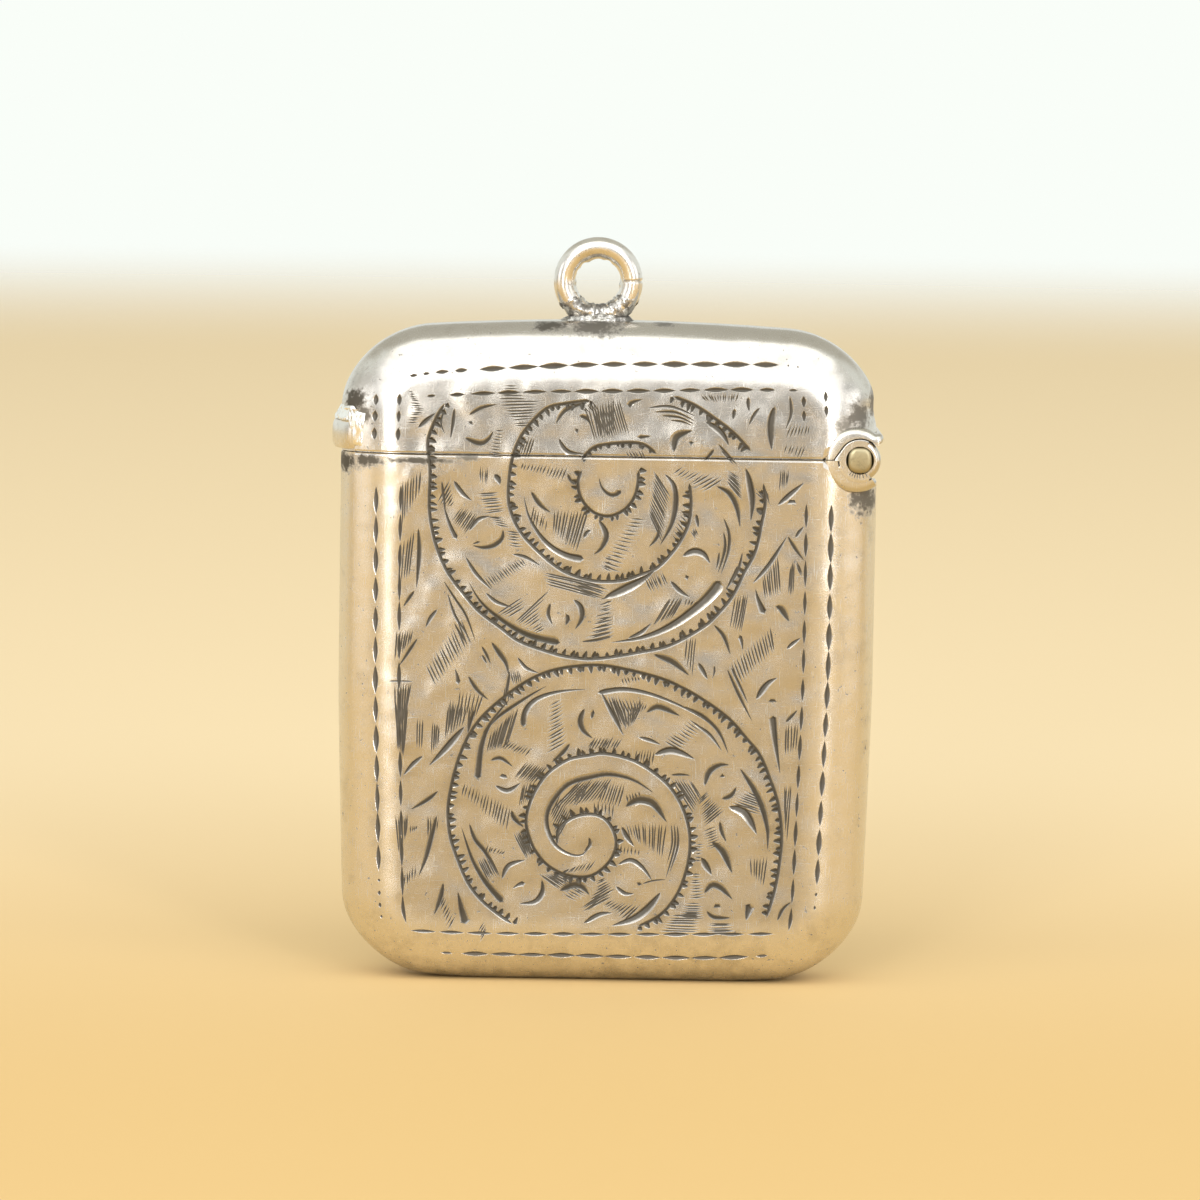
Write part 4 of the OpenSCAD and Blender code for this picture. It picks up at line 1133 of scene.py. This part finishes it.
def makeThumb():
    loops = []
    for i in range(thumb["steps"] + 1):
        y = thumb["half"] * (2 * i / thumb["steps"] - 1)
        near = max(0.0, (abs(y) - thumb["half"] + thumb["end"]) / thumb["end"])
        inward, upward, downward = [k * near * near for k in thumb["endRound"]]  # the ends are rounded off
        wall, face = flankX(y), thumb["x"] - math.sqrt(thumb["r"] ** 2 - y * y) + inward
        low, high = thumb["low"] + upward, thumb["face"] - downward
        section = [(wall + thumb["foot"], low), (wall, low)]
        for k in range(thumb["faceSteps"] + 1):
            t = math.pi * (k / thumb["faceSteps"] - 0.5)
            x = face + thumb["round"] * (1 - max(0.0, math.cos(t)) ** thumb["power"])
            section.append((min(wall - 0.01, x), (low + high) / 2 + (high - low) / 2 * math.sin(t)))
        section += [(wall - 0.05, thumb["top"]), (wall + thumb["foot"], thumb["top"])]
        loops.append([(x, y, z) for x, z in section])
    sweep("thumbPiece", loops, thumbSilver, "lid", ["thumb_piece"])


def lumps(b, size, reach, seed):  # uneven surface left by hand soldering
    for v in b.verts:
        p = v.co / mm * size + Vector((seed, seed * 0.7, 0))
        v.co += v.normal * mm * reach * (noise.noise(p) + 0.5 * noise.noise(p * 2.3))


# solder along the top of the thumb piece, which turns down beside its ends
thumbSeam = {"half": 3.5, "steps": 144, "sink": 0.25, "turn": 3.0, "blend": 0.15, "fade": (3.15, 0.35),
             "lumps": (2.8, 0.075, 4.0)}


def makeThumbSolder():
    loops = []
    for i in range(thumbSeam["steps"] + 1):
        y = thumbSeam["half"] * (2 * i / thumbSeam["steps"] - 1)
        wall = flankX(y)
        root = wall + thumbSeam["sink"]
        wave = 1 + 0.3 * noise.noise(Vector((y * 1.4, 3.1, 0)))
        lump = 0.5 + noise.noise(Vector((y * 2.2, 8.0, 0)))
        out = wall - thumb["x"] + math.sqrt(thumb["r"] ** 2 - y * y)
        above = [(root, 37.7), (wall - out * 0.74 * wave, 37.74), (wall - out * 0.68 * wave, 37.92),
                 (wall - out * 0.45, 38.12 + 0.08 * wave), (wall - out * 0.26, 38.3 + lump * 0.1),
                 (wall - 0.09, 38.46 + lump * 0.14), (wall + 0.03, 38.55 + lump * 0.2), (root, 38.55 + lump * 0.2)]
        f = max(0.0, 1 - ((abs(y) - thumbSeam["fade"][0]) / thumbSeam["fade"][1]) ** 2)
        beside = [(root, 36.0), (wall + 0.03, 36.0), (wall - 0.16 * f, 36.3),
                  (wall - 0.24 * f * wave, 36.8 + 0.1 * lump), (wall - 0.14 * f, 37.3), (wall - 0.22 * f * wave, 37.8),
                  (wall + 0.03, 38.2 + 0.15 * f), (root, 38.2 + 0.15 * f)]
        t = min(1.0, max(0.0, (abs(y) - thumbSeam["turn"]) / thumbSeam["blend"]))
        loops.append([(x0 * (1 - t) + x1 * t, y, z0 * (1 - t) + z1 * t) for (x0, z0), (x1, z1) in zip(above, beside)])
    piece = sweep("thumbSolder", loops, brightSolder, "lid", sharp=80)
    b = bmesh.new()
    b.from_mesh(piece.data)
    bmesh.ops.subdivide_edges(b, edges=b.edges, cuts=1, use_grid_fill=True)
    lumps(b, *thumbSeam["lumps"])
    b.to_mesh(piece.data)
    b.free()


eyelet = next(m for m in frame["record"]["mounts"] if m["name"] == "chain_ring")
ring = {"x": round(eyelet["pos_m"][0] / mm, 3), "z": round(eyelet["pos_m"][2] / mm, 3), "bore": eyelet["dims"]["r_mm"],
        "mid": 2.275, "wire": 0.725, "wireSteps": 28, "steps": 240, "cutOff": 44.3,
        "ragged": 0.14, "raggedTo": 1.95, "joint": math.radians(2), "groove": (0.12, 0.05)}


def makeRing():
    b = bmesh.new()
    count = ring["wireSteps"]
    turns = [2 * math.pi * i / count for i in range(count)]
    section = [b.verts.new(Vector((ring["mid"] + ring["wire"] * math.cos(t), 0, ring["wire"] * math.sin(t))) * mm)
               for t in turns]
    edges = [b.edges.new((section[i], section[(i + 1) % count])) for i in range(count)]
    bmesh.ops.spin(b, geom=section + edges, cent=(0, 0, 0), axis=(0, 0, 1), angle=2 * math.pi, steps=ring["steps"],
                   use_merge=True)
    bmesh.ops.recalc_face_normals(b, faces=b.faces)
    for v in b.verts:
        x, y, z = v.co / mm
        r, a = math.hypot(x, y), math.atan2(y, x)
        if r < ring["raggedTo"]:  # the bore was left rough, most of all at the front
            ragged = max(0.0, 0.35 + noise.noise(Vector((math.cos(a) * 3.5, math.sin(a) * 3.5, z * 1.5))))
            r -= ring["ragged"] * ragged * min(1.0, (ring["raggedTo"] - r) / 0.3) * (1.0 if z < 0.1 else 0.35)
        beside = abs((a - ring["joint"] + math.pi) % (2 * math.pi) - math.pi)
        groove = ring["groove"][0] * math.exp(-(beside * r / ring["groove"][1]) ** 2) * (r > ring["bore"] + 0.2)
        outward = r - ring["mid"]
        k = 1 - groove / max(0.2, math.hypot(outward, z)) - 0.02 * (1 + noise.noise(Vector((x, y, z)) * 0.8))
        r, z = ring["mid"] + outward * k, z * k
        v.co = Vector((ring["x"] + r * math.cos(a), -z, ring["z"] + r * math.sin(a))) * mm
    bmesh.ops.recalc_face_normals(b, faces=b.faces)
    bmesh.ops.bisect_plane(b, geom=b.verts[:] + b.edges[:] + b.faces[:], plane_co=(0, 0, ring["cutOff"] * mm),
                           plane_no=(0, 0, -1), clear_outer=True)
    bmesh.ops.holes_fill(b, edges=[e for e in b.edges if e.is_boundary])
    finishPiece("suspensionRing", b, ringSilver, "lid", ["suspension_ring"], 50)


# a puddle of solder on the lid, and what ran up the wire over an arc in degrees
footing = {"half": (2.72, 1.08, 0.92), "low": 44.12, "floor": 44.1, "lumps": ((1.5, 0.12, 2.0), (3.6, 0.07, 9.0)),
           "arc": (205, 135), "steps": 60, "round": 24, "thin": 0.62, "cover": 0.05, "fade": 0.1, "uneven": 0.14}


def makeRingSolder():
    b = bmesh.new()
    bmesh.ops.create_icosphere(b, subdivisions=5, radius=1.0)
    wide, deep, tall = footing["half"]
    for v in b.verts:
        x, y, z = v.co
        up = max(footing["low"], ring["cutOff"] + tall * z * (1 - 0.35 * x * x))
        v.co = Vector((ring["x"] + wide * x * (1 - 0.12 * max(0, z)), deep * y, up)) * mm
    bmesh.ops.recalc_face_normals(b, faces=b.faces)
    for lump in footing["lumps"]:
        lumps(b, *lump)
    for v in b.verts:
        v.co.z = max(v.co.z, footing["floor"] * mm)
    loops = []
    for i in range(footing["steps"] + 1):
        a = math.radians(footing["arc"][0] + footing["arc"][1] * i / footing["steps"])
        thick = ring["wire"] + footing["cover"] - footing["fade"] * abs(2 * i / footing["steps"] - 1) ** 3
        if i in (0, footing["steps"]):
            thick = footing["thin"]
        loop = []
        for k in range(footing["round"]):
            t = 2 * math.pi * k / footing["round"]
            bump = noise.noise(Vector((a * 5, math.cos(t) * 1.3, math.sin(t) * 1.3)))
            bump += 0.6 * noise.noise(Vector((a * 11, math.cos(t) * 3, 4.0)))
            r = thick + footing["uneven"] * bump
            at = ring["mid"] + r * math.cos(t)
            up = max(footing["floor"], ring["z"] + at * math.sin(a))
            loop.append((ring["x"] + at * math.cos(a), r * math.sin(t), up))
        loops.append(loop)
    skinOver(b, loops)
    finishPiece("ringSolder", b, greySolder, "lid", ["ring_solder"], 80)


makeThumb()
makeThumbSolder()
makeRing()
makeRingSolder()
print("thumb piece and ring soldered")

finishes = {"mouth_collar": pickledSilver, "striker_plate": strikerSilver}
for name, node in frame["nodes"].items():
    node.data.materials.clear()
    node.data.materials.append(finishes.get(name, hingeSilver))

# in metres: the floor is painted paler behind the case, painted light for the far floor that the lamps reach less and a
# painted sheen for its grazing look, and it fades out far away
stage = {"near": (0.775, 0.525, 0.21, 1), "far": (0.90, 0.715, 0.43, 1), "turn": (-0.06, 0.14), "rough": 0.8,
         "size": 3.0, "fade": (0.75, 1.35), "drop": -0.02 * mm}


def makeFloor():
    b = bmesh.new()
    bmesh.ops.create_grid(b, x_segments=1, y_segments=1, size=stage["size"],
                          matrix=Matrix.Translation((0, 0, stage["drop"])))
    mesh = bpy.data.meshes.new("floor")
    b.to_mesh(mesh)
    b.free()
    k = Bench(bpy.data.materials.new("paleFloor"))
    spot = k.node("ShaderNodeTexCoord", out=3)
    behind = k.node("ShaderNodeSeparateXYZ", {}, {0: spot}, out=1)
    # painted light and sheen: the floor's colour turns paler behind the case
    colour = k.mix(k.smooth(behind, *stage["turn"]), stage["near"], stage["far"])
    board = k.node("ShaderNodeBsdfPrincipled", {}, {"Base Color": colour, "Roughness": stage["rough"]})
    fade = k.smooth(k.vector("LENGTH", {0: spot}, out=1), *stage["fade"])
    clear = k.node("ShaderNodeBsdfTransparent")
    faded = k.node("ShaderNodeMixShader", {}, {0: fade, 1: board, 2: clear})
    k.node("ShaderNodeOutputMaterial", {}, {"Surface": faded})
    mesh.materials.append(k.owner)
    put("floor", mesh)


softboxes = {  # where it stands, the height it aims at, width and height, in metres; watts
    "overhead": ((0.0, -1.22, 1.12), 0.02, (2.6, 1.8), 17.6),
    "leftFront": ((-0.31, -1.08, 0.34), 0.025, (0.24, 0.68), 3.6),
    "rightFront": ((0.45, -1.06, 0.34), 0.025, (0.16, 0.68), 3.0),
    "leftSide": ((-0.77, -0.44, 0.215), 0.025, (0.46, 0.42), 0.85),
    "rightSide": ((0.77, -0.44, 0.215), 0.025, (0.46, 0.42), 0.85),
}


def hangSoftboxes():
    for name, (spot, aim, size, power) in softboxes.items():
        lamp = bpy.data.lights.new(name, "AREA")
        lamp.shape, lamp.energy = "RECTANGLE", power
        lamp.size, lamp.size_y = size
        box = put(name, lamp)
        box.location = spot
        box.rotation_euler = (Vector((0, 0, aim)) - Vector(spot)).to_track_quat("-Z", "Y").to_euler()


room = {"front": (0.40, 0.40, 0.39, 1), "back": (1.12, 1.13, 1.10, 1), "ceiling": (0.66, 0.65, 0.57, 1),
        "white": (0.95, 0.99, 0.94, 1), "backFrom": (-0.2, 0.6), "ceilingFrom": (0.62, 0.85)}


def makeRoom():
    bpy.context.scene.world = bpy.data.worlds.new("studio")
    sky = Bench(bpy.context.scene.world)
    way = sky.node("ShaderNodeTexCoord", out=0)
    behind, above = [sky.node("ShaderNodeSeparateXYZ", {}, {0: way}, out=axis) for axis in (1, 2)]
    backdrop = sky.smooth(behind + above * 0.9, *room["backFrom"])
    ceiling = sky.smooth(above + behind * 0.5, *room["ceilingFrom"])
    light = sky.mix(ceiling, sky.mix(backdrop, room["front"], room["back"]), room["ceiling"])
    straight, glossy, through = [sky.node("ShaderNodeLightPath", out=ray) for ray in (0, 3, 6)]
    seen = straight + (glossy + through) * backdrop * (1.0 - ceiling)  # the metal shows the white behind it too
    shown = sky.node("ShaderNodeBackground", {}, {"Color": sky.mix(seen, light, room["white"]), "Strength": 1.0})
    sky.node("ShaderNodeOutputWorld", {}, {"Surface": shown})


view = {"aim": (-0.00045, 0.0, 0.0256), "rise": math.radians(5.5), "away": 0.40, "width": 0.08105,
        "roll": math.radians(0.9), "sensor": 36.0, "clip": (0.01, 20)}


def setCamera():
    lens = bpy.data.cameras.new("camera")
    lens.sensor_width = view["sensor"]
    lens.lens = view["sensor"] * view["away"] / view["width"]
    lens.clip_start, lens.clip_end = view["clip"]
    eye = put("camera", lens)
    back = Vector((0, -math.cos(view["rise"]), math.sin(view["rise"])))
    eye.location = Vector(view["aim"]) + back * view["away"]
    eye.rotation_mode = "QUATERNION"
    roll = Matrix.Rotation(view["roll"], 3, "Z").to_quaternion()
    eye.rotation_quaternion = (-back).to_track_quat("-Z", "Y") @ roll
    bpy.context.scene.camera = eye


makeFloor()
hangSoftboxes()
makeRoom()
setCamera()
bpy.context.scene.view_settings.view_transform = "Standard"
print("stage lit")
